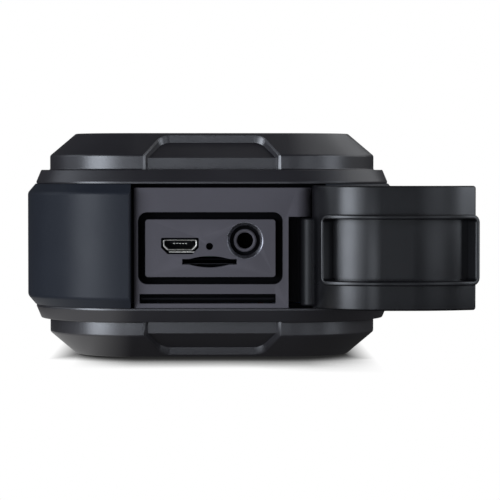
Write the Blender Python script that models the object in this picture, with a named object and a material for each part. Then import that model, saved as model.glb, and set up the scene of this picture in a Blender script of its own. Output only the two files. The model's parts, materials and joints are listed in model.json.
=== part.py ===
"""A rugged portable speaker on its back, with the rubber cover of its port bay swung open.

The ports face -Y, the grille faces +Z and the keys face +Y. The origin is the middle of the foot pad.
"""

import math

import bmesh
import bpy
from mathutils import Matrix, Vector
from mathutils.geometry import interpolate_bezier

# Driving dimensions, in metres

CLEARANCE = 0.0003  # between pieces that seat on each other
WELD = 0.000001  # points closer than this are one

# Plan outline: squares whose round corners share their centres
SIDE_FLAT = 0.0165  # half length of the straight part of a side
CORNER_STEPS = 9
BAND_HALF = 0.0415
RIM_SETBACK = 0.0019  # from the band in to a cap's rim
RIM_TAPER = 0.0011
CAP_SETBACK = 0.0031  # from the rim in to the cap's wall
CAP_BEVEL_RUN = 0.0058

# Heights, from the table up. The upper cap mirrors the lower one.
FOOT_PROUD = 0.0003
CAP_BEVEL_HEIGHT = 0.0049
CAP_WALL_HEIGHT = 0.0032
RIM_HEIGHT = 0.0028
RIM_CHAMFER = 0.0004
BAND_HEIGHT = 0.0270

# Shells
CAP_WALL = 0.0026
BAND_WALL = 0.0026
BAND_CHAMFER_DEPTH = 0.0017
BAND_CHAMFER_HEIGHT = 0.0020
HOUSING_WALL = 0.0020
HOUSING_FLANGE_HEIGHT = 0.0020
BAY_WALL = 0.0018
SEAL_HEIGHT = 0.0008
SEAL_WIDTH = 0.0010
FOOT_HALF = 0.0210
FOOT_THICKNESS = 0.0010

# Pockets in the middle of each cap side
POCKET_HALF = 0.0151
POCKET_TOP_HALF = 0.0112
POCKET_RUN = 0.0068  # how far it climbs the bevel
POCKET_DEPTH = 0.0010
POCKET_SLOPE = 0.0014  # width of its sloping walls
POCKET_CORNER = 0.0030
POCKET_CORNER_STEPS = 4
POCKET_FOOT = 0.0001  # how far it stops short of the rim

# Port bay and port panel
BAY_MARGIN = 0.00125  # from the groove or the vent to the bay's left end
BAND_END_GAP = 0.0003
PANEL_RECESS = 0.0024
PANEL_THICKNESS = 0.0034
PANEL_TOP_GAP = 0.0008
HINGE_RECESS_MARGIN = 0.0016  # from the groove to the hinge recess
HINGE_RECESS_WIDTH = 0.0075
HINGE_RECESS_HEIGHT = 0.0199
GROOVE_CENTRE_X = -0.00035
GROOVE_RISE = 0.00115  # middle of the groove above the board
GROOVE_HALF_WIDTH = 0.01575
GROOVE_HALF_HEIGHT = 0.00785
GROOVE_WIDTH = 0.0016
GROOVE_DEPTH = 0.0027
GROOVE_CORNER = 0.0020
ISLAND_CORNER = 0.0004
PORT_SEAL_THICKNESS = 0.0005
VENT_CENTRE_X = -0.00095
VENT_RISE = 0.00205
VENT_HALF_WIDTH = 0.01485
VENT_HEIGHT = 0.0021
LOUVRE_HEIGHT = 0.0004
LOUVRE_SETBACK = 0.0008
LOUVRE_DEPTH = 0.0020

# Main board and its sockets
BOARD_RISE = 0.0119  # top of the board above the foot of the band
BOARD_THICKNESS = 0.0009
BOARD_SIDE_GAP = 0.0026  # from the board to the case screws' posts
BOARD_DEPTH = 0.0126
WINDOW_HALF_WIDTH = 0.0122
WINDOW_BELOW = 0.0042
WINDOW_ABOVE = 0.0066
USB_X = -0.00697
USB_RISE = 0.00185  # middle of the shell above the board
USB_WIDTH = 0.00745
USB_HEIGHT = 0.00240
USB_CORNER = 0.0011
USB_WALL = 0.0003
USB_DEPTH = 0.0065
USB_SETBACK = 0.0006
USB_HOLE_MARGIN = 0.00045
USB_TONGUE_WIDTH = 0.0044
USB_TONGUE_HEIGHT = 0.0006
USB_PLUG_DEPTH = 0.0030
JACK_X = 0.0072
JACK_RISE = 0.0028
JACK_MOUTH_RADIUS = 0.0040
JACK_MOUTH_DEPTH = 0.0007
JACK_HOLE_RADIUS = 0.0033
JACK_BARREL_RADIUS = 0.0025
JACK_BORE_RADIUS = 0.00177
JACK_SETBACK = 0.0012
JACK_BODY_HALF_WIDTH = 0.0031
JACK_BODY_HEIGHT = 0.0056
JACK_BODY_DEPTH = 0.0110
JACK_BORE_DEPTH = 0.0125
CARD_X = -0.00055
CARD_DROP = 0.0018  # middle of the card slot below the top of the board
CARD_SLOT_WIDTH = 0.0119
CARD_SLOT_HEIGHT = 0.0012
CARD_SCOOP_HEIGHT = 0.0025
CARD_SCOOP_DEPTH = 0.0010
CARD_SOCKET_WIDTH = 0.0140
CARD_SOCKET_HEIGHT = 0.0016
CARD_SOCKET_DEPTH = 0.0130
CARD_SOCKET_WALL = 0.0003
MIC_X = -0.00054
MIC_RISE = 0.00156
MIC_HOLE_RADIUS = 0.00077
MIC_RADIUS = 0.00120
MIC_LENGTH = 0.0040

# Rubber port cover: a strip of segments that bend where they meet
HINGE_INSET = 0.0016  # from the bay's right end to the hinge
HINGE_GAP = 0.0012  # from the hinge to the panel
COVER_END_GAP = 0.00095
COVER_FOOT_GAP = 0.0001
BEND_RADIUS = 0.01135
BEND_SEGMENTS = 5
TIP_LENGTH = 0.0055
TIP_SEGMENTS = 2
TIP_TURN = math.radians(12.5)
SEGMENT_GAP = 0.0003
COVER_RIM_WALL = 0.0010
COVER_RIM_ROOT_WALL = 0.0006
ANCHOR_SETBACK = 0.0023  # from the recess's left end to the anchor
ANCHOR_CORNER = 0.0024

# Driver
GRILLE_WALL = 0.0010  # from the grille out to the driver's screws
GRILLE_THICKNESS = 0.0008
GRILLE_HOLE_RADIUS = 0.0020
GRILLE_HOLE_PITCH = 0.0058
GRILLE_HOLE_RINGS = 3
GRILLE_SINK = 0.0002
CLOTH_THICKNESS = 0.0003
GRILLE_LEDGE = 0.0020
BASKET_FLANGE_WIDTH = 0.0044
BASKET_FLANGE = 0.0015
BASKET_SHEET = 0.0012
BASKET_DEPTH = 0.0125
BASKET_FOOT_RADIUS = 0.0170
SURROUND_WIDTH = 0.0035
SURROUND_HEIGHT = 0.0018
SURROUND_SHEET = 0.0006
CONE_DEPTH = 0.0085
CONE_SHEET = 0.0006
COIL_RADIUS = 0.0092
COIL_WALL = 0.0008
COIL_LENGTH = 0.0080
DUST_CAP_HEIGHT = 0.0026
MAGNET_RADIUS = 0.0180
MAGNET_HEIGHT = 0.0087
MAGNET_GAP_DEPTH = 0.0057
DRIVER_SCREW_MARGIN = 0.0018  # from a driver screw out to the flange's edge

# Battery
BATTERY_WIDTH = 0.0430
BATTERY_DEPTH = 0.0330
BATTERY_HEIGHT = 0.0095
BATTERY_PAD_HEIGHT = 0.0008
BATTERY_ROUNDING = 0.0024

# Keys, on the side away from the ports
KEY_COUNT = 4
KEY_PITCH = 0.0096
KEY_WIDTH = 0.0070
KEY_HEIGHT = 0.0056
KEY_CORNER = 0.0014
KEY_PROUD = 0.0007
KEY_TRAVEL = 0.0006
KEY_FLANGE = 0.0007  # how far the flange stands out round the key
KEY_FLANGE_THICKNESS = 0.0009
KEY_FLANGE_GAP = 0.0004
DOME_RADIUS = 0.0021
DOME_HEIGHT = 0.0010
KEY_BOARD_THICKNESS = 0.0010
KEY_BOARD_MARGIN = 0.0018  # from a post out to the board's end
KEY_BOARD_BELOW = 0.0050
KEY_BOARD_ABOVE = 0.0085
KEY_POST_GAP = 0.0007
KEY_POST_RADIUS = 0.0014
LIGHT_RISE = 0.0065
LIGHT_RADIUS = 0.0010

# Fasteners and leads
CASE_BOSS_GAP = 0.00265  # from a screw post to the bay's round corner
CASE_BOSS_RADIUS = 0.0030
CASE_SCREW_RADIUS = 0.0011
CASE_HEAD_RADIUS = 0.0020
CASE_HEAD_HEIGHT = 0.0016
CASE_HEAD_SINK = 0.0004
CASE_SCREW_REACH = 0.0080
BOARD_SCREW_INSET = 0.0028
BOARD_SCREW_SETBACK = 0.0075
BOARD_POST_RADIUS = 0.0019
SMALL_SCREW_RADIUS = 0.0007
SMALL_HEAD_RADIUS = 0.0013
SMALL_HEAD_HEIGHT = 0.0009
BOARD_SCREW_REACH = 0.0045
DRIVER_SCREW_REACH = 0.0014
LEAD_RADIUS = 0.0007

# Facets
SMOOTH_ANGLE = math.radians(30)
ROUND_SIDES = 20
SMALL_SIDES = 12
TURN_STEPS = 32
ROLL_STEPS = 4
ROUNDING_STEPS = 3
CURVE_STEPS = 8
LEAD_STEPS = 4

# Plan sizes worked out from the sizes above
RIM_HALF = BAND_HALF - RIM_SETBACK
RIM_EDGE_HALF = RIM_HALF - RIM_TAPER
CAP_HALF = RIM_HALF - CAP_SETBACK
CAP_FACE_HALF = CAP_HALF - CAP_BEVEL_RUN
BEVEL_TURN = math.atan2(CAP_BEVEL_RUN, CAP_BEVEL_HEIGHT)
CAP_FLOOR_HALF = CAP_FACE_HALF - CAP_WALL * math.tan((math.pi / 2 - BEVEL_TURN) / 2)
BAND_INNER_HALF = BAND_HALF - BAND_WALL
HOUSING_HALF = BAND_INNER_HALF - CLEARANCE
HOUSING_INNER_HALF = HOUSING_HALF - HOUSING_WALL
PANEL_FRONT = BAND_HALF - PANEL_RECESS
PANEL_BACK = PANEL_FRONT - PANEL_THICKNESS
BAY_FLOOR = PANEL_BACK - CLEARANCE
BAY_INNER = BAY_FLOOR - BAY_WALL
BAY_LEFT = min(GROOVE_CENTRE_X - GROOVE_HALF_WIDTH, VENT_CENTRE_X - VENT_HALF_WIDTH) - BAY_MARGIN
HINGE_RECESS_LEFT = GROOVE_CENTRE_X + GROOVE_HALF_WIDTH + HINGE_RECESS_MARGIN
BAY_RIGHT = HINGE_RECESS_LEFT + HINGE_RECESS_WIDTH
HINGE_X = BAY_RIGHT - HINGE_INSET
PANEL_RIGHT = HINGE_X - HINGE_GAP
ANCHOR_LEFT = HINGE_RECESS_LEFT + ANCHOR_SETBACK
CASE_POST_REACH = BAY_INNER - SIDE_FLAT - CASE_BOSS_GAP - CASE_BOSS_RADIUS
CASE_SCREW_PLACE = SIDE_FLAT + CASE_POST_REACH / math.sqrt(2)
BOARD_FRONT = BAY_INNER - CLEARANCE
BOARD_HALF_WIDTH = CASE_SCREW_PLACE - CASE_BOSS_RADIUS - BOARD_SIDE_GAP
BOARD_SCREW_X = BOARD_HALF_WIDTH - BOARD_SCREW_INSET
BASKET_RADIUS = CAP_FLOOR_HALF - CLEARANCE
SURROUND_OUTER = BASKET_RADIUS - BASKET_FLANGE_WIDTH - CLEARANCE
SURROUND_INNER = SURROUND_OUTER - SURROUND_WIDTH
DRIVER_SCREW_CIRCLE = BASKET_RADIUS - DRIVER_SCREW_MARGIN
GRILLE_RADIUS = DRIVER_SCREW_CIRCLE - SMALL_SCREW_RADIUS - CLEARANCE - GRILLE_WALL
THROAT_RADIUS = GRILLE_RADIUS - GRILLE_LEDGE
KEY_ROW_END = (KEY_COUNT - 1) / 2 * KEY_PITCH + KEY_WIDTH / 2 + KEY_FLANGE
KEY_POST_X = KEY_ROW_END + KEY_POST_GAP + KEY_POST_RADIUS
KEY_BOARD_HALF_WIDTH = KEY_POST_X + KEY_BOARD_MARGIN

# Heights worked out from the sizes above
CAP_BASE = FOOT_PROUD
CREASE = CAP_BASE + CAP_BEVEL_HEIGHT
RIM_FOOT = CREASE + CAP_WALL_HEIGHT
RIM_TOP = RIM_FOOT + RIM_HEIGHT
BAND_FOOT = RIM_TOP + CLEARANCE
BAND_TOP = BAND_FOOT + BAND_HEIGHT
MIDDLE = BAND_FOOT + BAND_HEIGHT / 2
CAP_FLOOR = CAP_BASE + CAP_WALL
HOUSING_FOOT = BAND_FOOT + SEAL_HEIGHT + CLEARANCE
PANEL_TOP = BAND_TOP - PANEL_TOP_GAP
BOARD_TOP = BAND_FOOT + BOARD_RISE
BOARD_FOOT = BOARD_TOP - BOARD_THICKNESS
GROOVE_Z = BOARD_TOP + GROOVE_RISE
HINGE_RECESS_TOP = BAND_FOOT + HINGE_RECESS_HEIGHT
COVER_THICKNESS = PANEL_RECESS - CLEARANCE
COVER_FOOT = BAND_FOOT + COVER_FOOT_GAP
COVER_TOP = BAND_TOP - CLEARANCE
HINGE = Vector((HINGE_X, -BAND_HALF + COVER_THICKNESS / 2, MIDDLE))
COVER_RIM_HEIGHT = GROOVE_DEPTH - PORT_SEAL_THICKNESS - CLEARANCE
UP = Vector((0, 0, 1))

FINISHES = {
    "cap_plastic": ((0.026, 0.025, 0.031), 0.42, 0.0),
    "band_plastic": ((0.026, 0.032, 0.045), 0.50, 0.0),
    "inner_plastic": ((0.018, 0.018, 0.020), 0.60, 0.0),
    "panel_plastic": ((0.072, 0.070, 0.086), 0.55, 0.0),
    "rubber": ((0.010, 0.011, 0.014), 0.48, 0.0),
    "steel": ((0.62, 0.60, 0.56), 0.28, 1.0),
    "dark_steel": ((0.10, 0.10, 0.11), 0.40, 1.0),
    "magnet": ((0.05, 0.05, 0.055), 0.50, 0.6),
    "cloth": ((0.012, 0.012, 0.013), 0.95, 0.0),
    "paper": ((0.030, 0.030, 0.032), 0.85, 0.0),
    "copper": ((0.72, 0.34, 0.18), 0.35, 1.0),
    "board": ((0.015, 0.060, 0.035), 0.45, 0.0),
    "battery_wrap": ((0.10, 0.16, 0.30), 0.35, 0.0),
    "foam": ((0.020, 0.020, 0.022), 0.95, 0.0),
    "clear_plastic": ((0.75, 0.80, 0.85), 0.20, 0.0),
    "wire": ((0.35, 0.03, 0.03), 0.45, 0.0),
}


def clear_scene():
    for item in list(bpy.data.objects):
        bpy.data.objects.remove(item, do_unlink=True)


def new_collection(name):
    group = bpy.data.collections.new(name)
    bpy.context.scene.collection.children.link(group)
    return group


def add_object(name, bm, group, origin):
    """Closes a mesh under construction into an object whose origin is at the given point."""
    bmesh.ops.recalc_face_normals(bm, faces=bm.faces[:])
    bmesh.ops.translate(bm, verts=bm.verts[:], vec=-origin)
    mesh = bpy.data.meshes.new(name)
    bm.to_mesh(mesh)
    bm.free()
    mesh.shade_smooth()
    mesh.set_sharp_from_angle(angle=SMOOTH_ANGLE)
    item = bpy.data.objects.new(name, mesh)
    item.location = origin
    group.objects.link(item)
    return item


def finish_material(name, finish):
    colour, roughness, metallic = FINISHES[finish]
    material = bpy.data.materials.new(f"{name}_{finish}")
    material.use_nodes = True
    shader = material.node_tree.nodes["Principled BSDF"]
    shader.inputs["Base Color"].default_value = (*colour, 1.0)
    shader.inputs["Roughness"].default_value = roughness
    shader.inputs["Metallic"].default_value = metallic
    return material


def add_part(name, finish, bm, origin=Vector()):
    """Makes a part of the speaker, with a material of its own."""
    item = add_object(name, bm, PARTS, origin)
    item.data.materials.append(finish_material(name, finish))
    return item


def add_tool(name, bm):
    """Makes a shape that only cuts or joins a part."""
    item = add_object(name, bm, TOOLS, Vector())
    item.hide_render = True
    item.display_type = "WIRE"
    return item


def combine(part, tool, operation):
    step = part.modifiers.new(tool.name, "BOOLEAN")
    step.operation = operation
    step.solver = "EXACT"
    step.object = tool


def cut(part, name, bm):
    combine(part, add_tool(name, bm), "DIFFERENCE")


def join(part, name, bm):
    tool = add_tool(name, bm)
    combine(part, tool, "UNION")
    return tool


def mirrored(height):
    """The height in the upper cap that matches one in the lower cap."""
    return 2 * MIDDLE - height


def arc(centre, radius, start, end, steps):
    points = []
    for step in range(steps + 1):
        angle = start + (end - start) * step / steps
        points.append((centre[0] + radius * math.cos(angle), centre[1] + radius * math.sin(angle)))
    return points


def round_rectangle(centre, half_width, half_height, radius, steps=ROLL_STEPS):
    """Outline points of a rectangle with round corners, anticlockwise from the right side."""
    points = []
    for quarter, (side, rise) in enumerate(((1, 1), (-1, 1), (-1, -1), (1, -1))):
        corner = (centre[0] + side * (half_width - radius), centre[1] + rise * (half_height - radius))
        start = quarter * math.pi / 2
        points += arc(corner, radius, start, start + math.pi / 2, steps)
    return points


def fillet(before, corner, after, radius, steps):
    """Points of an arc that rounds one corner of an outline."""
    before, corner, after = Vector(before), Vector(corner), Vector(after)
    back = (before - corner).normalized()
    ahead = (after - corner).normalized()
    half_angle = back.angle(ahead) / 2
    start = corner + back * radius / math.tan(half_angle)
    end = corner + ahead * radius / math.tan(half_angle)
    centre = corner + (back + ahead).normalized() * radius / math.sin(half_angle)
    points = []
    for step in range(steps + 1):
        spoke = (start - centre).lerp(end - centre, step / steps).normalized()
        points.append(tuple(centre + spoke * radius))
    return points


def level_ring(outline, height):
    return [Vector((x, y, height)) for x, y in outline]


def standing_ring(outline, y):
    return [Vector((x, y, z)) for x, z in outline]


def square_ring(half, height):
    """A round-cornered square on the body's plan, at one height."""
    return level_ring(round_rectangle((0, 0), half, half, half - SIDE_FLAT, CORNER_STEPS), height)


def loft(bm, rings, closed=False):
    """Skins a stack of rings that have equally many points, and caps its ends or joins them."""
    loops = [[bm.verts.new(point) for point in ring] for ring in rings]
    steps = list(zip(loops, loops[1:]))
    if closed:
        steps.append((loops[-1], loops[0]))
    else:
        bm.faces.new(loops[0])
        bm.faces.new(loops[-1])
    for lower, upper in steps:
        for index, corner in enumerate(lower):
            after = (index + 1) % len(lower)
            bm.faces.new((corner, lower[after], upper[after], upper[index]))
    return bm


def box(bm, low, high):
    low, high = Vector(low), Vector(high)
    place = Matrix.Translation((low + high) / 2) @ Matrix.Diagonal((*(high - low), 1))
    bmesh.ops.create_cube(bm, size=1, matrix=place)
    return bm


def rod(bm, start, end, radius, end_radius=None, sides=ROUND_SIDES):
    """A capped cylinder between two points, or a cone if its end has another radius."""
    start, end = Vector(start), Vector(end)
    turn = UP.rotation_difference(end - start).to_matrix().to_4x4()
    place = Matrix.Translation((start + end) / 2) @ turn
    bmesh.ops.create_cone(
        bm,
        cap_ends=True,
        segments=sides,
        radius1=radius,
        radius2=radius if end_radius is None else end_radius,
        depth=(end - start).length,
        matrix=place,
    )
    return bm


def turned(profile, centre=(0, 0), closed=True, steps=TURN_STEPS):
    """A profile of (radius, height) points spun round an upright axis."""
    bm = bmesh.new()
    points = [bm.verts.new((radius, 0, height)) for radius, height in profile]
    lines = [bm.edges.new(pair) for pair in zip(points, points[1:])]
    if closed:
        lines.append(bm.edges.new((points[-1], points[0])))
    bmesh.ops.spin(
        bm,
        geom=points + lines,
        cent=(0, 0, 0),
        axis=UP,
        angle=2 * math.pi,
        steps=steps,
        use_merge=True,
    )
    bmesh.ops.remove_doubles(bm, verts=bm.verts[:], dist=WELD)
    bmesh.ops.translate(bm, verts=bm.verts[:], vec=(*centre, 0))
    return bm


def corner_places(place):
    return [(x * place, y * place) for x in (-1, 1) for y in (-1, 1)]


def cap_profile():
    """(half width, height) round the lower cap's wall, from its face outside to its floor inside."""
    inner_half = CAP_HALF - CAP_WALL
    return [
        (CAP_FACE_HALF, CAP_BASE),
        (CAP_HALF, CREASE),
        (CAP_HALF, RIM_FOOT),
        (RIM_EDGE_HALF, RIM_FOOT),
        (RIM_HALF, RIM_TOP - RIM_CHAMFER),
        (RIM_HALF - RIM_CHAMFER, RIM_TOP),
        (inner_half, RIM_TOP),
        (inner_half, CREASE + CAP_WALL * math.tan(BEVEL_TURN / 2)),
        (CAP_FLOOR_HALF, CAP_FLOOR),
    ]


def pocket_outline(inset):
    """(half width, climb along the bevel) of one side of a pocket, drawn in by an inset."""
    top = POCKET_RUN - inset
    crease = (POCKET_HALF - inset, 0)
    corner = (POCKET_TOP_HALF - inset / 2, top)
    return [crease] + fillet(crease, corner, (0, top), POCKET_CORNER, POCKET_CORNER_STEPS)


def pocket_rows(depth):
    """(half width, distance from the body's middle, height) down a pocket's side, below the cap's skin."""
    inset = POCKET_SLOPE * depth / POCKET_DEPTH
    wall = CAP_HALF - depth
    crease = CREASE + depth * math.tan(BEVEL_TURN / 2)
    rows = [(POCKET_HALF - inset, wall, RIM_FOOT - POCKET_FOOT)]
    for half, climb in pocket_outline(inset):
        rows.append((half, wall - climb * math.sin(BEVEL_TURN), crease - climb * math.cos(BEVEL_TURN)))
    return rows


def pockets(height_of):
    """The four pockets of a cap, as one cutting shape."""
    bm = bmesh.new()
    for quarter in range(4):
        turn = Matrix.Rotation(quarter * math.pi / 2, 3, "Z")
        rings = []
        for floor, skin in zip(pocket_rows(POCKET_DEPTH), pocket_rows(-POCKET_DEPTH)):
            ring = []
            for side, (half, out, height) in ((-1, floor), (1, floor), (1, skin), (-1, skin)):
                ring.append(turn @ Vector((side * half, -out, height_of(height))))
            rings.append(ring)
        loft(bm, rings)
    return bm


def build_lower_cap():
    bm = loft(bmesh.new(), [square_ring(half, height) for half, height in cap_profile()])
    cap = add_part("lower_cap", "cap_plastic", bm)
    root = CAP_BASE + CAP_WALL / 2
    posts = bmesh.new()
    for x, y in corner_places(CASE_SCREW_PLACE):
        rod(posts, (x, y, root), (x, y, MIDDLE - CLEARANCE / 2), CASE_BOSS_RADIUS)
    for x, y in board_screw_places():
        rod(posts, (x, y, root), (x, y, BOARD_FOOT - CLEARANCE), BOARD_POST_RADIUS, sides=SMALL_SIDES)
    join(cap, "lower_cap_posts", posts)
    holes = bmesh.new()
    for x, y in corner_places(CASE_SCREW_PLACE):
        head = turned(case_screw_profile(CLEARANCE, MIDDLE + CLEARANCE), (x, y), False, SMALL_SIDES)
        merge(holes, head)
    for x, y in board_screw_places():
        tip = BOARD_FOOT - BOARD_SCREW_REACH
        radius = SMALL_SCREW_RADIUS + CLEARANCE
        rod(holes, (x, y, tip), (x, y, BOARD_FOOT), radius, sides=SMALL_SIDES)
    cut(cap, "lower_cap_holes", holes)
    seat_top = FOOT_THICKNESS + CLEARANCE
    seat = loft(bmesh.new(), [foot_ring(CLEARANCE, -FOOT_THICKNESS), foot_ring(CLEARANCE, seat_top)])
    cut(cap, "foot_seat", seat)
    cut(cap, "lower_pockets", pockets(lambda height: height))


def merge(bm, other):
    """Moves the faces of one mesh under construction into another."""
    spare = bpy.data.meshes.new("spare")
    other.to_mesh(spare)
    other.free()
    bm.from_mesh(spare)
    bpy.data.meshes.remove(spare)


def build_upper_cap():
    profile = [(half, mirrored(height)) for half, height in cap_profile()]
    cap = add_part("upper_cap", "cap_plastic", loft(bmesh.new(), [square_ring(*step) for step in profile]))
    roof = mirrored(CAP_FLOOR)
    posts = bmesh.new()
    for x, y in corner_places(CASE_SCREW_PLACE):
        rod(posts, (x, y, MIDDLE + CLEARANCE / 2), (x, y, roof + CAP_WALL / 2), CASE_BOSS_RADIUS)
    join(cap, "upper_cap_posts", posts)
    holes = bmesh.new()
    for x, y in corner_places(CASE_SCREW_PLACE):
        tip = MIDDLE + CASE_SCREW_REACH + CLEARANCE
        rod(holes, (x, y, MIDDLE), (x, y, tip), CASE_SCREW_RADIUS + CLEARANCE, sides=SMALL_SIDES)
    for x, y in driver_screw_places():
        tip = roof + DRIVER_SCREW_REACH + CLEARANCE
        rod(holes, (x, y, roof - CLEARANCE), (x, y, tip), SMALL_SCREW_RADIUS + CLEARANCE, sides=SMALL_SIDES)
    cut(cap, "upper_cap_holes", holes)
    top = mirrored(CAP_BASE)
    seat = grille_seat()
    throat = [
        (0, top + CAP_WALL),
        (GRILLE_RADIUS + CLEARANCE, top + CAP_WALL),
        (GRILLE_RADIUS + CLEARANCE, seat),
        (THROAT_RADIUS, seat),
        (THROAT_RADIUS, roof - CAP_WALL),
        (0, roof - CAP_WALL),
    ]
    cut(cap, "grille_opening", turned(throat, closed=False))
    cut(cap, "upper_pockets", pockets(mirrored))


def grille_seat():
    return mirrored(CAP_BASE) - GRILLE_SINK - GRILLE_THICKNESS - CLOTH_THICKNESS - 2 * CLEARANCE


def foot_ring(margin, height):
    half = FOOT_HALF + margin
    return level_ring(round_rectangle((0, 0), half, half, half / 2), height)


def build_foot_pad():
    bm = loft(bmesh.new(), [foot_ring(0, 0), foot_ring(0, FOOT_THICKNESS)])
    add_part("foot_pad", "rubber", bm)


def build_side_band():
    shoulder = BAND_HALF - BAND_CHAMFER_DEPTH
    profile = [
        (shoulder, BAND_FOOT),
        (BAND_HALF, BAND_FOOT + BAND_CHAMFER_HEIGHT),
        (BAND_HALF, BAND_TOP - BAND_CHAMFER_HEIGHT),
        (shoulder, BAND_TOP),
        (BAND_INNER_HALF, BAND_TOP),
        (BAND_INNER_HALF, BAND_FOOT),
    ]
    band = add_part(
        "side_band", "band_plastic", loft(bmesh.new(), [square_ring(*step) for step in profile], True)
    )
    low = (BAY_LEFT - BAND_END_GAP, -2 * BAND_HALF, -BAND_HEIGHT)
    high = (BAY_RIGHT + BAND_END_GAP, -SIDE_FLAT, BAND_TOP + BAND_HEIGHT)
    cut(band, "band_bay", box(bmesh.new(), low, high))
    cut(band, "band_key_holes", key_holes())


def build_housing():
    foot, top = HOUSING_FOOT, mirrored(HOUSING_FOOT)
    bm = loft(bmesh.new(), [square_ring(HOUSING_HALF, foot), square_ring(HOUSING_HALF, top)])
    housing = add_part("housing", "inner_plastic", bm)
    bore = [square_ring(BAY_INNER, foot - BAND_HEIGHT), square_ring(BAY_INNER, top + BAND_HEIGHT)]
    cut(housing, "housing_bore", loft(bmesh.new(), bore))
    low, high = foot + HOUSING_FLANGE_HEIGHT, top - HOUSING_FLANGE_HEIGHT
    bm = loft(bmesh.new(), [square_ring(HOUSING_INNER_HALF, low), square_ring(HOUSING_INNER_HALF, high)])
    hollow = add_tool("housing_hollow", bm)
    left, right = BAY_LEFT - BAY_WALL, BAY_RIGHT + BAY_WALL
    block = box(bmesh.new(), (left, -2 * BAND_HALF, -BAND_HEIGHT), (right, -SIDE_FLAT, 2 * BAND_TOP))
    cut(hollow, "bay_block", block)
    combine(housing, hollow, "DIFFERENCE")
    bay = box(bmesh.new(), (BAY_LEFT, -2 * BAND_HALF, -BAND_HEIGHT), (BAY_RIGHT, -BAY_FLOOR, 2 * BAND_TOP))
    cut(housing, "housing_bay", bay)
    window = box(
        bmesh.new(),
        (-WINDOW_HALF_WIDTH, -BAND_HALF, BOARD_TOP - WINDOW_BELOW),
        (WINDOW_HALF_WIDTH, -SIDE_FLAT, BOARD_TOP + WINDOW_ABOVE),
    )
    cut(housing, "socket_window", window)
    posts = bmesh.new()
    for side in (-1, 1):
        start = (side * KEY_POST_X, key_board_face() + CLEARANCE, MIDDLE)
        end = (side * KEY_POST_X, HOUSING_INNER_HALF + HOUSING_WALL / 4, MIDDLE)
        rod(posts, start, end, KEY_POST_RADIUS, sides=SMALL_SIDES)
    join(housing, "key_board_posts", posts)
    cut(housing, "housing_key_holes", key_holes())


def build_case_seals():
    outer = BAY_FLOOR - CLEARANCE
    for name, low in (("lower_seal", BAND_FOOT), ("upper_seal", BAND_TOP - SEAL_HEIGHT)):
        high = low + SEAL_HEIGHT
        inner = outer - SEAL_WIDTH
        steps = ((outer, low), (outer, high), (inner, high), (inner, low))
        add_part(name, "rubber", loft(bmesh.new(), [square_ring(*step) for step in steps], True))


def usb_outline(margin):
    """The USB shell's outline, wide side up, grown all round by a margin."""
    centre_z = BOARD_TOP + USB_RISE
    half = USB_WIDTH / 2 + margin
    top = centre_z + USB_HEIGHT / 2 + margin
    bottom = centre_z - USB_HEIGHT / 2 - margin
    return [
        (USB_X + half, top),
        (USB_X - half, top),
        (USB_X - half, bottom + USB_CORNER),
        (USB_X - half + USB_CORNER, bottom),
        (USB_X + half - USB_CORNER, bottom),
        (USB_X + half, bottom + USB_CORNER),
    ]


def scoop_outline():
    """The lens shape of the finger scoop round the card slot."""
    half, rise = CARD_SLOT_WIDTH / 2, CARD_SCOOP_HEIGHT / 2
    radius = (half * half + rise * rise) / (2 * rise)
    sweep = math.asin(half / radius)
    upright = math.pi / 2
    centre_z = BOARD_TOP - CARD_DROP
    top = arc((CARD_X, centre_z + rise - radius), radius, upright - sweep, upright + sweep, CURVE_STEPS)
    bottom = arc((CARD_X, centre_z - rise + radius), radius, -upright - sweep, -upright + sweep, CURVE_STEPS)
    return top + bottom[1:-1]


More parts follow.
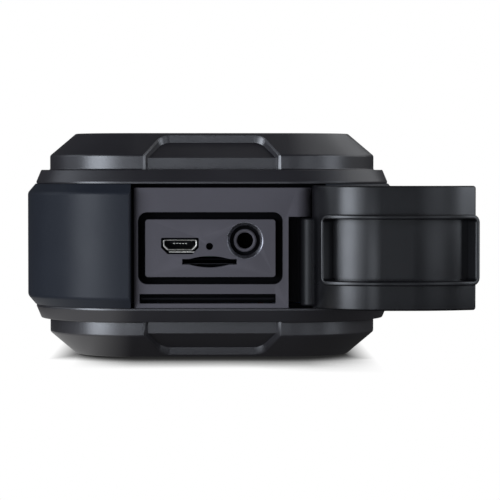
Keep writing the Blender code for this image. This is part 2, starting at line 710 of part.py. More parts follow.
def build_port_panel():
    left = BAY_LEFT + CLEARANCE
    bm = box(
        bmesh.new(),
        (left, -PANEL_FRONT, BAND_FOOT),
        (PANEL_RIGHT, -PANEL_BACK, PANEL_TOP),
    )
    panel = add_part("port_panel", "panel_plastic", bm)
    through = 2 * PANEL_THICKNESS
    front, back = -PANEL_FRONT - through, -PANEL_BACK + through
    notch_foot = BAND_FOOT - HINGE_RECESS_HEIGHT
    notch = box(
        bmesh.new(), (HINGE_RECESS_LEFT, front, notch_foot), (BAY_RIGHT, back, HINGE_RECESS_TOP)
    )
    cut(panel, "hinge_recess", notch)
    outer, inner = groove_outlines(0, GROOVE_WIDTH)
    floor = -PANEL_FRONT + GROOVE_DEPTH
    rings = [standing_ring(outer, front), standing_ring(outer, floor)]
    rings += [standing_ring(inner, floor), standing_ring(inner, front)]
    cut(panel, "seal_groove", loft(bmesh.new(), rings, True))
    hole = usb_outline(USB_HOLE_MARGIN)
    cut(panel, "usb_hole", loft(bmesh.new(), [standing_ring(hole, front), standing_ring(hole, back)]))
    mouth = jack_centre(-PANEL_FRONT - JACK_MOUTH_DEPTH)
    slope = (JACK_MOUTH_RADIUS - JACK_HOLE_RADIUS) / JACK_MOUTH_DEPTH
    outside = JACK_MOUTH_RADIUS + slope * JACK_MOUTH_DEPTH
    neck = jack_centre(-PANEL_FRONT + JACK_MOUTH_DEPTH)
    cut(panel, "jack_mouth", rod(bmesh.new(), mouth, neck, outside, JACK_HOLE_RADIUS))
    cut(panel, "jack_hole", rod(bmesh.new(), jack_centre(front), jack_centre(back), JACK_HOLE_RADIUS))
    pinhole_z = BOARD_TOP + MIC_RISE
    pinhole = rod(
        bmesh.new(), (MIC_X, front, pinhole_z), (MIC_X, back, pinhole_z), MIC_HOLE_RADIUS, sides=SMALL_SIDES
    )
    cut(panel, "mic_pinhole", pinhole)
    slot_z = BOARD_TOP - CARD_DROP
    half_width, half_height = CARD_SLOT_WIDTH / 2, CARD_SLOT_HEIGHT / 2
    slot = box(
        bmesh.new(),
        (CARD_X - half_width, front, slot_z - half_height),
        (CARD_X + half_width, back, slot_z + half_height),
    )
    cut(panel, "card_slot", slot)
    scoop = scoop_outline()
    rings = [standing_ring(scoop, front), standing_ring(scoop, -PANEL_FRONT + CARD_SCOOP_DEPTH)]
    cut(panel, "card_scoop", loft(bmesh.new(), rings))
    vent_z = BAND_FOOT + VENT_RISE
    vent = box(
        bmesh.new(),
        (VENT_CENTRE_X - VENT_HALF_WIDTH, front, vent_z - VENT_HEIGHT / 2),
        (VENT_CENTRE_X + VENT_HALF_WIDTH, back, vent_z + VENT_HEIGHT / 2),
    )
    cut(panel, "vent_slot", vent)


def groove_outlines(margin, width):
    """Outer and inner outlines of a band round the ports, set in from the groove's outer edge."""
    centre = (GROOVE_CENTRE_X, GROOVE_Z)
    half_width = GROOVE_HALF_WIDTH - margin
    half_height = GROOVE_HALF_HEIGHT - margin
    outer = round_rectangle(centre, half_width, half_height, GROOVE_CORNER)
    inner = round_rectangle(centre, half_width - width, half_height - width, ISLAND_CORNER)
    return outer, inner


def build_port_seal():
    outer, inner = groove_outlines(CLEARANCE, GROOVE_WIDTH - 2 * CLEARANCE)
    back = -PANEL_FRONT + GROOVE_DEPTH - CLEARANCE
    front = back - PORT_SEAL_THICKNESS
    rings = [standing_ring(outer, front), standing_ring(outer, back)]
    rings += [standing_ring(inner, back), standing_ring(inner, front)]
    add_part("port_seal", "rubber", loft(bmesh.new(), rings, True))


def build_vent_louvre():
    vent_z = BAND_FOOT + VENT_RISE
    half = VENT_HALF_WIDTH - CLEARANCE
    front = -PANEL_FRONT + LOUVRE_SETBACK
    bm = box(
        bmesh.new(),
        (VENT_CENTRE_X - half, front, vent_z - LOUVRE_HEIGHT / 2),
        (VENT_CENTRE_X + half, front + LOUVRE_DEPTH, vent_z + LOUVRE_HEIGHT / 2),
    )
    add_part("vent_louvre", "inner_plastic", bm)


def build_usb_socket():
    front = -PANEL_FRONT + USB_SETBACK
    back = front + USB_DEPTH
    outer, inner = usb_outline(0), usb_outline(-USB_WALL)
    rings = [standing_ring(outer, front), standing_ring(outer, back)]
    rings += [standing_ring(inner, back), standing_ring(inner, front)]
    add_part("usb_shell", "steel", loft(bmesh.new(), rings, True))
    plug = usb_outline(-USB_WALL - CLEARANCE)
    rings = [standing_ring(plug, back - USB_PLUG_DEPTH), standing_ring(plug, back)]
    tongue = add_part("usb_tongue", "inner_plastic", loft(bmesh.new(), rings))
    centre_z = BOARD_TOP + USB_RISE + USB_TONGUE_HEIGHT / 2
    blade = box(
        bmesh.new(),
        (USB_X - USB_TONGUE_WIDTH / 2, front + USB_WALL, centre_z - USB_TONGUE_HEIGHT / 2),
        (USB_X + USB_TONGUE_WIDTH / 2, back - USB_PLUG_DEPTH / 2, centre_z + USB_TONGUE_HEIGHT / 2),
    )
    join(tongue, "usb_blade", blade)


def jack_centre(y):
    return (JACK_X, y, BOARD_TOP + JACK_RISE)


def build_audio_jack():
    front = -PANEL_FRONT + JACK_SETBACK
    shoulder = -BAY_FLOOR
    body_foot = BOARD_TOP + CLEARANCE
    bm = box(
        bmesh.new(),
        (JACK_X - JACK_BODY_HALF_WIDTH, shoulder, body_foot),
        (JACK_X + JACK_BODY_HALF_WIDTH, shoulder + JACK_BODY_DEPTH, body_foot + JACK_BODY_HEIGHT),
    )
    jack = add_part("audio_jack", "inner_plastic", bm)
    inside = shoulder + JACK_BODY_DEPTH / 2
    barrel = rod(bmesh.new(), jack_centre(front), jack_centre(inside), JACK_BARREL_RADIUS)
    join(jack, "jack_barrel", barrel)
    outside = front - JACK_SETBACK
    bore = rod(bmesh.new(), jack_centre(outside), jack_centre(front + JACK_BORE_DEPTH), JACK_BORE_RADIUS)
    cut(jack, "jack_bore", bore)


def build_card_socket():
    front = -BAY_FLOOR
    top = BOARD_FOOT - CLEARANCE
    half = CARD_SOCKET_WIDTH / 2
    bm = box(
        bmesh.new(),
        (CARD_X - half, front, top - CARD_SOCKET_HEIGHT),
        (CARD_X + half, front + CARD_SOCKET_DEPTH, top),
    )
    socket = add_part("card_socket", "steel", bm)
    inner = half - CARD_SOCKET_WALL
    hollow = box(
        bmesh.new(),
        (CARD_X - inner, front - CARD_SOCKET_DEPTH, top - CARD_SOCKET_HEIGHT + CARD_SOCKET_WALL),
        (CARD_X + inner, front + CARD_SOCKET_DEPTH - CARD_SOCKET_WALL, top - CARD_SOCKET_WALL),
    )
    cut(socket, "card_hollow", hollow)


def build_microphone():
    height = BOARD_TOP + MIC_RISE
    start, end = (MIC_X, -BAY_FLOOR, height), (MIC_X, -BAY_FLOOR + MIC_LENGTH, height)
    add_part("microphone", "inner_plastic", rod(bmesh.new(), start, end, MIC_RADIUS, sides=SMALL_SIDES))


def board_screw_places():
    y = -BOARD_FRONT + BOARD_SCREW_SETBACK
    return [(-BOARD_SCREW_X, y), (BOARD_SCREW_X, y)]


def build_main_board():
    low = (-BOARD_HALF_WIDTH, -BOARD_FRONT, BOARD_FOOT)
    high = (BOARD_HALF_WIDTH, -BOARD_FRONT + BOARD_DEPTH, BOARD_TOP)
    board = add_part("main_board", "board", box(bmesh.new(), low, high))
    holes = bmesh.new()
    radius = SMALL_SCREW_RADIUS + CLEARANCE
    for x, y in board_screw_places():
        start, end = (x, y, BOARD_FOOT - BOARD_THICKNESS), (x, y, BOARD_TOP + BOARD_THICKNESS)
        rod(holes, start, end, radius, sides=SMALL_SIDES)
    cut(board, "board_screw_holes", holes)


def build_battery():
    half_width, half_depth = BATTERY_WIDTH / 2, BATTERY_DEPTH / 2
    pad_foot = CAP_FLOOR + CLEARANCE
    foot = pad_foot + BATTERY_PAD_HEIGHT + CLEARANCE
    pad_top = pad_foot + BATTERY_PAD_HEIGHT
    pad = box(bmesh.new(), (-half_width, -half_depth, pad_foot), (half_width, half_depth, pad_top))
    add_part("battery_pad", "foam", pad)
    top = foot + BATTERY_HEIGHT
    cell = box(bmesh.new(), (-half_width, -half_depth, foot), (half_width, half_depth, top))
    bmesh.ops.bevel(
        cell,
        geom=[edge for edge in cell.edges if abs((edge.verts[0].co - edge.verts[1].co).y) > half_depth],
        offset=BATTERY_ROUNDING,
        segments=ROUNDING_STEPS,
        affect="EDGES",
    )
    add_part("battery_pack", "battery_wrap", cell)


def basket_top():
    return mirrored(CAP_FLOOR) - CLEARANCE


def driver_screw_places():
    reach = DRIVER_SCREW_CIRCLE
    return [(reach, 0), (0, reach), (-reach, 0), (0, -reach)]


def build_grille():
    cloth_foot = grille_seat() + CLEARANCE
    foot = cloth_foot + CLOTH_THICKNESS + CLEARANCE
    cloth_top = cloth_foot + CLOTH_THICKNESS
    cloth = rod(bmesh.new(), (0, 0, cloth_foot), (0, 0, cloth_top), GRILLE_RADIUS, sides=TURN_STEPS)
    add_part("grille_cloth", "cloth", cloth)
    plate = rod(bmesh.new(), (0, 0, foot), (0, 0, foot + GRILLE_THICKNESS), GRILLE_RADIUS, sides=TURN_STEPS)
    grille = add_part("grille", "dark_steel", plate)
    holes = bmesh.new()
    low, high = foot - GRILLE_THICKNESS, foot + 2 * GRILLE_THICKNESS
    for x, y in hexagon_grid(GRILLE_HOLE_PITCH, GRILLE_HOLE_RINGS):
        rod(holes, (x, y, low), (x, y, high), GRILLE_HOLE_RADIUS, sides=SMALL_SIDES)
    cut(grille, "grille_holes", holes)


def hexagon_grid(pitch, rings):
    """Centres of a hexagonal grid that has a number of rings round its middle point."""
    places = []
    for row in range(-rings, rings + 1):
        count = 2 * rings + 1 - abs(row)
        for column in range(count):
            x = (column - (count - 1) / 2) * pitch
            places.append((x, row * pitch * math.sqrt(3) / 2))
    return places


def build_driver():
    top = basket_top()
    rim_foot = top - BASKET_FLANGE
    foot = top - BASKET_DEPTH
    throat = SURROUND_OUTER + CLEARANCE
    coil_hole = COIL_RADIUS + CLEARANCE
    basket = add_part(
        "driver_basket",
        "dark_steel",
        turned(
            [
                (BASKET_RADIUS, top),
                (BASKET_RADIUS, rim_foot),
                (throat + BASKET_SHEET, rim_foot),
                (BASKET_FOOT_RADIUS, foot),
                (coil_hole, foot),
                (coil_hole, foot + BASKET_SHEET),
                (BASKET_FOOT_RADIUS - BASKET_SHEET, foot + BASKET_SHEET),
                (throat, rim_foot),
                (throat, top),
            ]
        ),
    )
    holes = bmesh.new()
    for x, y in driver_screw_places():
        start, end = (x, y, rim_foot - BASKET_FLANGE), (x, y, top + BASKET_FLANGE)
        rod(holes, start, end, SMALL_SCREW_RADIUS + CLEARANCE, sides=SMALL_SIDES)
    cut(basket, "basket_screw_holes", holes)
    build_magnet(foot - CLEARANCE)
    build_moving_cone(rim_foot, foot)


def build_magnet(top):
    foot = top - MAGNET_HEIGHT
    floor = top - MAGNET_GAP_DEPTH
    gap_outer = COIL_RADIUS + CLEARANCE
    gap_inner = COIL_RADIUS - COIL_WALL - CLEARANCE
    profile = [
        (0, top),
        (gap_inner, top),
        (gap_inner, floor),
        (gap_outer, floor),
        (gap_outer, top),
        (MAGNET_RADIUS, top),
        (MAGNET_RADIUS, foot),
        (0, foot),
    ]
    add_part("driver_magnet", "magnet", turned(profile, closed=False))


def build_moving_cone(rim_foot, basket_foot):
    roll_radius = (SURROUND_OUTER - SURROUND_INNER) / 2
    roll_middle = (SURROUND_OUTER + SURROUND_INNER) / 2
    inner_radius = roll_radius - SURROUND_SHEET
    stretch = SURROUND_HEIGHT / roll_radius
    outside = arc((roll_middle, 0), roll_radius, 0, math.pi, ROLL_STEPS)
    inside = arc((roll_middle, 0), inner_radius, math.pi, 0, ROLL_STEPS)
    roll = [(radius, rim_foot + height * stretch) for radius, height in outside + inside]
    add_part("driver_surround", "rubber", turned(roll))

    edge = SURROUND_INNER - CLEARANCE
    neck = COIL_RADIUS + CLEARANCE
    foot = rim_foot - CONE_DEPTH
    cone = [
        (edge, rim_foot + CONE_SHEET),
        (edge, rim_foot),
        (neck + CONE_SHEET, foot),
        (neck, foot),
        (neck, foot + CONE_SHEET),
        (edge - CONE_SHEET, rim_foot + CONE_SHEET),
    ]
    axis = Vector((0, 0, foot))
    add_part("driver_cone", "paper", turned(cone), axis)
    coil_top = foot + CONE_SHEET
    inner = COIL_RADIUS - COIL_WALL
    tip = coil_top - COIL_LENGTH
    coil = [(COIL_RADIUS, coil_top), (COIL_RADIUS, tip), (inner, tip), (inner, coil_top)]
    add_part("voice_coil", "copper", turned(coil), axis)
    dome_foot = coil_top + CLEARANCE
    radius = (COIL_RADIUS**2 + DUST_CAP_HEIGHT**2) / (2 * DUST_CAP_HEIGHT)
    sweep = math.asin(COIL_RADIUS / radius)
    upright = math.pi / 2
    crown = arc((0, dome_foot + DUST_CAP_HEIGHT - radius), radius, upright, upright - sweep, ROLL_STEPS)
    hollow_radius = radius - CONE_SHEET
    hollow_middle = dome_foot + DUST_CAP_HEIGHT - radius
    hollow_sweep = math.acos((dome_foot - hollow_middle) / hollow_radius)
    hollow = arc((0, hollow_middle), hollow_radius, upright - hollow_sweep, upright, ROLL_STEPS)
    dome = [(0, crown[0][1])] + crown[1:] + hollow[:-1] + [(0, hollow[-1][1])]
    add_part("dust_cap", "paper", turned(dome, closed=False), axis)


def key_places():
    return [(index - (KEY_COUNT - 1) / 2) * KEY_PITCH for index in range(KEY_COUNT)]


def key_outline(x, margin):
    half_width, half_height = KEY_WIDTH / 2 + margin, KEY_HEIGHT / 2 + margin
    return round_rectangle((x, MIDDLE), half_width, half_height, KEY_CORNER + margin, ROUNDING_STEPS)


def key_holes():
    """Openings for the keys and the status light, through the back of the body."""
    bm = bmesh.new()
    near, far = SIDE_FLAT + (HOUSING_INNER_HALF - SIDE_FLAT) / 2, 2 * BAND_HALF
    for x in key_places():
        outline = key_outline(x, CLEARANCE)
        loft(bm, [standing_ring(outline, near), standing_ring(outline, far)])
    light_z = MIDDLE + LIGHT_RISE
    rod(bm, (0, near, light_z), (0, far, light_z), LIGHT_RADIUS + CLEARANCE, sides=SMALL_SIDES)
    return bm


def key_flange_back():
    return HOUSING_INNER_HALF - KEY_FLANGE_GAP - KEY_FLANGE_THICKNESS


def key_board_face():
    return key_flange_back() - KEY_TRAVEL - DOME_HEIGHT - 2 * CLEARANCE


def build_keys():
    names = ("power_key", "volume_down_key", "volume_up_key", "play_key")
    back = key_flange_back()
    flange_front = back + KEY_FLANGE_THICKNESS
    face = BAND_HALF + KEY_PROUD
    board_face = key_board_face()
    for index, (name, x) in enumerate(zip(names, key_places())):
        flange, stem = key_outline(x, KEY_FLANGE), key_outline(x, 0)
        rings = [standing_ring(flange, back), standing_ring(flange, flange_front)]
        rings += [standing_ring(stem, flange_front), standing_ring(stem, face)]
        add_part(name, "rubber", loft(bmesh.new(), rings), Vector((x, face, MIDDLE)))
        start = (x, board_face + CLEARANCE, MIDDLE)
        end = (x, board_face + CLEARANCE + DOME_HEIGHT, MIDDLE)
        dome = rod(bmesh.new(), start, end, DOME_RADIUS, DOME_RADIUS / 2, SMALL_SIDES)
        add_part(f"dome_switch_{index + 1}", "steel", dome)
    low = (-KEY_BOARD_HALF_WIDTH, board_face - KEY_BOARD_THICKNESS, MIDDLE - KEY_BOARD_BELOW)
    high = (KEY_BOARD_HALF_WIDTH, board_face, MIDDLE + KEY_BOARD_ABOVE)
    add_part("key_board", "board", box(bmesh.new(), low, high))
    light_z = MIDDLE + LIGHT_RISE
    start, end = (0, board_face + CLEARANCE, light_z), (0, BAND_HALF, light_z)
    add_part("status_light", "clear_plastic", rod(bmesh.new(), start, end, LIGHT_RADIUS, sides=SMALL_SIDES))


def case_screw_profile(margin, tip):
    """Half section of a case screw, from its head's underside to its tip, or of the hole that takes it."""
    foot = CAP_BASE + CASE_HEAD_SINK if margin == 0 else CAP_BASE - CAP_WALL
    shoulder = CAP_BASE + CASE_HEAD_SINK + CASE_HEAD_HEIGHT + margin
    head, shank = CASE_HEAD_RADIUS + margin, CASE_SCREW_RADIUS + margin
    return [(0, tip), (shank, tip), (shank, shoulder), (head, shoulder), (head, foot), (0, foot)]


def small_screw_profile(seat, tip, direction):
    """Half section of a small screw whose head rests on a seat and whose shank points to its tip."""
    head = seat - direction * SMALL_HEAD_HEIGHT
    profile = [
        (0, tip),
        (SMALL_SCREW_RADIUS, tip),
        (SMALL_SCREW_RADIUS, seat),
        (SMALL_HEAD_RADIUS, seat),
        (SMALL_HEAD_RADIUS, head),
        (0, head),
    ]
    return profile


def build_screws():
    for index, place in enumerate(corner_places(CASE_SCREW_PLACE)):
        profile = case_screw_profile(0, MIDDLE + CASE_SCREW_REACH)
        add_part(f"case_screw_{index + 1}", "dark_steel", turned(profile, place, False, SMALL_SIDES))
    roof = mirrored(CAP_FLOOR)
    seat = basket_top() - BASKET_FLANGE - CLEARANCE
    for index, place in enumerate(driver_screw_places()):
        profile = small_screw_profile(seat, roof + DRIVER_SCREW_REACH, 1)
        add_part(f"driver_screw_{index + 1}", "dark_steel", turned(profile, place, False, SMALL_SIDES))
    seat = BOARD_TOP + CLEARANCE
    for index, place in enumerate(board_screw_places()):
        profile = small_screw_profile(seat, BOARD_FOOT - BOARD_SCREW_REACH + CLEARANCE, -1)
        add_part(f"board_screw_{index + 1}", "dark_steel", turned(profile, place, False, SMALL_SIDES))


def build_cover_anchor():
    left, right = ANCHOR_LEFT, BAY_RIGHT - CLEARANCE
    front, back = -PANEL_FRONT, -PANEL_BACK
    outline = fillet((left, back), (left, front), (right, front), ANCHOR_CORNER, CURVE_STEPS)
    outline += [(right, front), (right, back), (left, back)]
    foot = COVER_FOOT + CLEARANCE
    rings = [level_ring(outline, foot), level_ring(outline, HINGE_RECESS_TOP - CLEARANCE)]
    add_part("cover_anchor", "rubber", loft(bmesh.new(), rings))


def cover_segments():
    """(length, turn at its root) of each segment of the open cover, from the hinge outwards."""
    turn = math.pi / 2 / (BEND_SEGMENTS + 1)
    bend = BEND_RADIUS / sum(math.sin(turn * (step + 1)) for step in range(BEND_SEGMENTS))
    reach = HINGE_X - (BAY_LEFT + COVER_END_GAP)
    flat = reach - bend * BEND_SEGMENTS - TIP_LENGTH * TIP_SEGMENTS
    segments = [(bend, math.pi / 2 + turn)]
    segments += [(bend, turn)] * (BEND_SEGMENTS - 1)
    segments.append((flat, turn))
    segments += [(TIP_LENGTH, TIP_TURN)] * TIP_SEGMENTS
    return segments


def rim_hook(end, mouth, wall, low, high):
    """One closed end of the cover's sealing rim, with its two long bars running to an open mouth."""
    radius = GROOVE_CORNER - CLEARANCE
    inner = end + math.copysign(wall, mouth - end)
    outline = fillet((mouth, low), (end, low), (end, high), radius, ROLL_STEPS)
    outline += fillet((end, low), (end, high), (mouth, high), radius, ROLL_STEPS)
    outline += [(mouth, high), (mouth, high - COVER_RIM_WALL), (inner, high - COVER_RIM_WALL)]
    outline += [(inner, low + COVER_RIM_WALL), (mouth, low + COVER_RIM_WALL), (mouth, low)]
    return outline


def cover_rim(start, left, right):
    """The outlines, along one segment and up, of the stretch of sealing rim that the segment carries."""
    low = GROOVE_Z - GROOVE_HALF_HEIGHT + CLEARANCE - HINGE.z
    high = GROOVE_Z + GROOVE_HALF_HEIGHT - CLEARANCE - HINGE.z
    root = HINGE_X - (GROOVE_CENTRE_X + GROOVE_HALF_WIDTH - CLEARANCE) - start
    tip = HINGE_X - (GROOVE_CENTRE_X - GROOVE_HALF_WIDTH + CLEARANCE) - start
    if root >= right:
        return []
    if root > left:
        return [rim_hook(root, right, COVER_RIM_ROOT_WALL, low, high)]
    if tip < right:
        return [rim_hook(tip, left, COVER_RIM_WALL, low, high)]
    bars = []
    for foot in (low, high - COVER_RIM_WALL):
        top = foot + COVER_RIM_WALL
        bars.append([(left, foot), (right, foot), (right, top), (left, top)])
    return bars


def build_cover():
    """The cover's segments, each hung on the one before, at the turns that the open cover takes."""
    half = COVER_THICKNESS / 2
    low, high = COVER_FOOT - HINGE.z, COVER_TOP - HINGE.z
    holder, place, start = None, HINGE, 0
    for index, (length, turn) in enumerate(cover_segments()):
        left, right = SEGMENT_GAP, length - SEGMENT_GAP
        root = [(left, half), (left, -half)]
        if holder is None:
            root = arc((0, 0), half, math.pi / 2, 1.5 * math.pi, CURVE_STEPS)
        outline = root + [(right, -half), (right, half)]
        bm = loft(bmesh.new(), [level_ring(outline, low), level_ring(outline, high)])
        segment = add_part(f"cover_segment_{index + 1}", "rubber", bm)
        for number, bar in enumerate(cover_rim(start, left, right)):
            rings = [standing_ring(bar, -half - COVER_RIM_HEIGHT), standing_ring(bar, 0)]
            rim = join(segment, f"cover_rim_{index + 1}_{number + 1}", loft(bmesh.new(), rings))
            rim.parent = segment
        segment.parent = holder
        segment.location = place
        segment.rotation_euler.z = turn if holder else turn + math.pi
        holder, place, start = segment, Vector((length, 0, 0)), start + length


def smooth_route(points):
    """Points along a smooth curve through a wire's own points."""
    padded = [points[0], *points, points[-1]]
    route = []
    for before, start, end, after in zip(padded, padded[1:], padded[2:], padded[3:]):
        handles = (start + (end - before) / 6, end - (after - start) / 6)
        route += interpolate_bezier(start, *handles, end, LEAD_STEPS + 1)[:-1]
    return route + [points[-1]]


def build_leads():
    """Wires that join the battery and the driver to the main board."""
    routes = {
        "battery_lead": [
            (0.0110, -0.0260, 0.0212),
            (0.0110, -0.0228, 0.0211),
            (0.0110, -0.0198, 0.0186),
            (0.0110, -0.0190, 0.0130),
            (0.0110, -0.0176, 0.0095),
        ],
        "driver_lead": [
            (-0.0130, -0.0285, 0.0246),
            (-0.0130, -0.0262, 0.0249),
            (-0.0128, -0.0238, 0.0280),
            (-0.0122, -0.0206, 0.0340),
            (-0.0114, -0.0180, 0.0372),
        ],
    }
    for name, points in routes.items():
        curve = bpy.data.curves.new(name, "CURVE")
        curve.dimensions = "3D"
        curve.bevel_depth = LEAD_RADIUS
        curve.bevel_resolution = 2
        curve.use_fill_caps = True
        route = smooth_route([Vector(point) for point in points])
        spline = curve.splines.new("POLY")
        spline.points.add(len(route) - 1)
        for point, place in zip(spline.points, route):
            point.co = (*place, 1)
        item = bpy.data.objects.new(name, curve)
        PARTS.objects.link(item)
        curve.materials.append(finish_material(name, "wire"))


clear_scene()
PARTS = new_collection("portable_speaker")
TOOLS = new_collection("cutting_shapes")
TOOLS.hide_render = True
build_lower_cap()
build_upper_cap()
build_foot_pad()
build_side_band()
build_housing()
build_case_seals()
build_port_panel()
build_port_seal()
build_vent_louvre()
build_usb_socket()
build_audio_jack()
build_card_socket()
build_microphone()
build_main_board()
build_battery()
build_grille()
build_driver()
build_keys()
build_screws()
build_cover_anchor()
build_cover()
build_leads()
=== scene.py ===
"""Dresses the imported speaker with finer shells, ports, keys and a cover skin, then lights and frames it.

Lengths are in metres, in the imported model's frame: ports on -Y, grille on +Z, keys on +Y.
"""

import json
import math

import bmesh
import bpy
from mathutils import Matrix, Vector


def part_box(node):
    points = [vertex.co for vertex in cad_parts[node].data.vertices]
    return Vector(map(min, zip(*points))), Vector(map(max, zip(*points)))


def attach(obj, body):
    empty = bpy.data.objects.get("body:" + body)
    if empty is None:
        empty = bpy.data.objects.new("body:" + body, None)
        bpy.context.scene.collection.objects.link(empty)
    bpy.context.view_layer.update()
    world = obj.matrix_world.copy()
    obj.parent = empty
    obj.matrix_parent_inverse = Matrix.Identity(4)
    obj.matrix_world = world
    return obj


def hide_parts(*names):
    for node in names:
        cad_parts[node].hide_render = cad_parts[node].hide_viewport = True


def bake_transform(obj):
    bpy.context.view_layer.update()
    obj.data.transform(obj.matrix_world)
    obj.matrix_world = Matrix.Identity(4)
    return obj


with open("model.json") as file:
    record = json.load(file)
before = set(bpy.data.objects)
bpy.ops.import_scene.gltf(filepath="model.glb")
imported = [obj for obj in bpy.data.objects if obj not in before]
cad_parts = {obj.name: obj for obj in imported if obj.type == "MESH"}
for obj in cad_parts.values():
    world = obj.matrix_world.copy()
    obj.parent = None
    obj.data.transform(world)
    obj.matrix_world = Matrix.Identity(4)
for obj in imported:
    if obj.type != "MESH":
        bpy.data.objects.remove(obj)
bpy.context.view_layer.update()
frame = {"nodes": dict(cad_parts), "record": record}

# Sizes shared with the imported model
CLEARANCE = 0.0003
SIDE_FLAT = 0.0165
BAND_HALF = 0.0415
RIM_HALF = 0.0396
RIM_EDGE_HALF = 0.0385
CAP_HALF = 0.0365
CAP_FACE_HALF = 0.0307
CAP_WALL = 0.0026
CAP_BASE = 0.0003
CREASE = 0.0052
RIM_FOOT = 0.0084
BAND_FOOT = 0.0115
BAND_TOP = 0.0385
BAND_WALL = 0.0026
BAND_CHAMFER_DEPTH = 0.0017
BAND_CHAMFER_HEIGHT = 0.0020
MIDDLE = 0.0250
POCKET_HALF = 0.0151
POCKET_TOP_HALF = 0.0112
POCKET_RUN = 0.0068
POCKET_CORNER = 0.0030
POCKET_FOOT = 0.0001
FOOT_HALF = 0.0210
FOOT_THICKNESS = 0.0010
BAY_LEFT = -0.01735
BAY_RIGHT = 0.0245
BAND_END_GAP = 0.0003
PANEL_FRONT = 0.0391
PANEL_BACK = 0.0357
PANEL_TOP = 0.0377
PANEL_RIGHT = 0.0217
HINGE_RECESS_TOP = 0.0314
GROOVE_CENTRE = (-0.00035, 0.02455)
GROOVE_HALF_WIDTH = 0.01575
GROOVE_HALF_HEIGHT = 0.00785
GROOVE_WIDTH = 0.0016
GROOVE_CORNER = 0.0020
VENT_CENTRE = (-0.00095, 0.01355)
VENT_HALF_WIDTH = 0.01485
VENT_HEIGHT = 0.0021
USB_CENTRE = (-0.00697, 0.02525)
USB_WIDTH = 0.00745
USB_HEIGHT = 0.00240
USB_WALL = 0.0003
USB_DEPTH = 0.0065
USB_SETBACK = 0.0006
USB_TONGUE_WIDTH = 0.0044
USB_PLUG_DEPTH = 0.0030
JACK_CENTRE = (0.0072, 0.0262)
JACK_MOUTH_RADIUS = 0.0040
JACK_BARREL_RADIUS = 0.0025
JACK_BORE_RADIUS = 0.00177
JACK_SETBACK = 0.0012
CARD_CENTRE = (-0.00055, 0.0216)
CARD_SLOT_WIDTH = 0.0119
CARD_SLOT_HEIGHT = 0.0012
CARD_SCOOP_HEIGHT = 0.0025
MIC_CENTRE = (-0.00054, 0.02496)
MIC_HOLE_RADIUS = 0.00077
HINGE = (0.0229, -0.04045)
COVER_HALF = 0.00105
COVER_FOOT = 0.0116
COVER_TOP = 0.0382
COVER_LENGTH = 0.0393
COVER_RIM_WALL = 0.0010
COVER_RIM_ROOT_WALL = 0.0006
BEND_RADIUS = 0.01135
BEND_SEGMENTS = 5
TIP_LENGTH = 0.0055
TIP_TURN = math.radians(12.5)
ANCHOR_LEFT = 0.0193
ANCHOR_CORNER = 0.0024
GRILLE_RADIUS = 0.0256485
GRILLE_THICKNESS = 0.0008
GRILLE_SINK = 0.0002
CLOTH_THICKNESS = 0.0003
THROAT_RADIUS = 0.0236485
KEY_PLACES = (-0.0144, -0.0048, 0.0048, 0.0144)
KEY_WIDTH = 0.0070
KEY_HEIGHT = 0.0056
KEY_CORNER = 0.0014
KEY_FACE = 0.0422
LIGHT_Z = 0.0315
LIGHT_RADIUS = 0.0010
CASE_SCREW_PLACE = 0.0245956
CASE_BOSS_RADIUS = 0.0030
CASE_SCREW_RADIUS = 0.0011
CASE_HEAD_RADIUS = 0.0020
CASE_HEAD_HEIGHT = 0.0016
CASE_HEAD_SINK = 0.0004

# Finer forms that only the dressed model has
CORNER_STEPS = 28
FILLET_STEPS = 5
GROOVE_STEPS = 8
FOOT_STEPS = 12
PANEL_LEFT_STEPS = 10
PANEL_RIGHT_STEPS = 16
ANCHOR_STEPS = 20
ARC_STEPS = 24
ROUND_SIDES = 64
JACK_SIDES = 96
GRILLE_SIDES = 128
HOLE_SIDES = 18
SMALL_SIDES = 32
SMOOTH_ANGLE = math.radians(28)
WELD = 0.000001
PLACE_DIGITS = 7
PANEL_CUT_MARGIN = 0.004
BAND_CUT_MARGIN = 0.01
STRIP_CORNER = 1 / 2.2
FACE_EDGE_ROUND = 0.0006
CREASE_ROUND = 0.0007
POCKET_DEPTH = 0.00126
POCKET_SLOPE = 0.00106
POCKET_SHOULDER_DEPTH = 0.00034
POCKET_SHOULDER_WIDTH = 0.0006
RIM_END = 0.01145
RIM_ROUND = 0.0003
RIM_CHAMFER_HEIGHT = 0.00045
RIM_CHAMFER_DEPTH = 0.00003
BAND_EDGE_ROUND = 0.0013
BAND_END_ROUND = 0.0007
PANEL_LEFT_ROUND = 0.0012
PANEL_RIGHT_ROUND = 0.0032
GROOVE_DEPTH = 0.00325
ISLAND_CORNER = 0.0006
LINER_GAP = 0.00001
LINER_SETBACK = 0.00015
LINER_THICKNESS = 0.0001
FOOT_EDGE = 0.0004
FOOT_GROOVE = 0.0006
FOOT_GROOVE_PITCH = 0.0034
FOOT_GROOVE_SPAN = 0.017
VENT_ROUND = 0.0002
HINGE_RECESS_LEFT = 0.01665
USB_CORNER = 0.0009
USB_HOLE_MARGIN = 0.00038
USB_HOLE_CORNER = 0.0014
USB_HOLE_DROP = 0.0004
USB_HOLE_ROUND = 0.0003
USB_ROUND = 0.0005
USB_PLUG_ROUND = 0.0002
USB_GASKET_DEPTH = 0.0014
GASKET_THICKNESS = 0.0006
USB_BLADE_FOOT = 0.02562
USB_BLADE_HEIGHT = 0.0004
USB_BLADE_ROUND = 0.0001
USB_CONTACTS = 5
USB_CONTACT_PITCH = 0.00065
USB_CONTACT_WIDTH = 0.0004
USB_CONTACT_HEIGHT = 0.0002
USB_BAR_CENTRE = (-0.0065, 0.02372)
USB_BAR_WIDTH = 0.0058
USB_BAR_HEIGHT = 0.00022
JACK_TRIM_WIDTH = 0.0007
JACK_TRIM_LIP = 0.00016
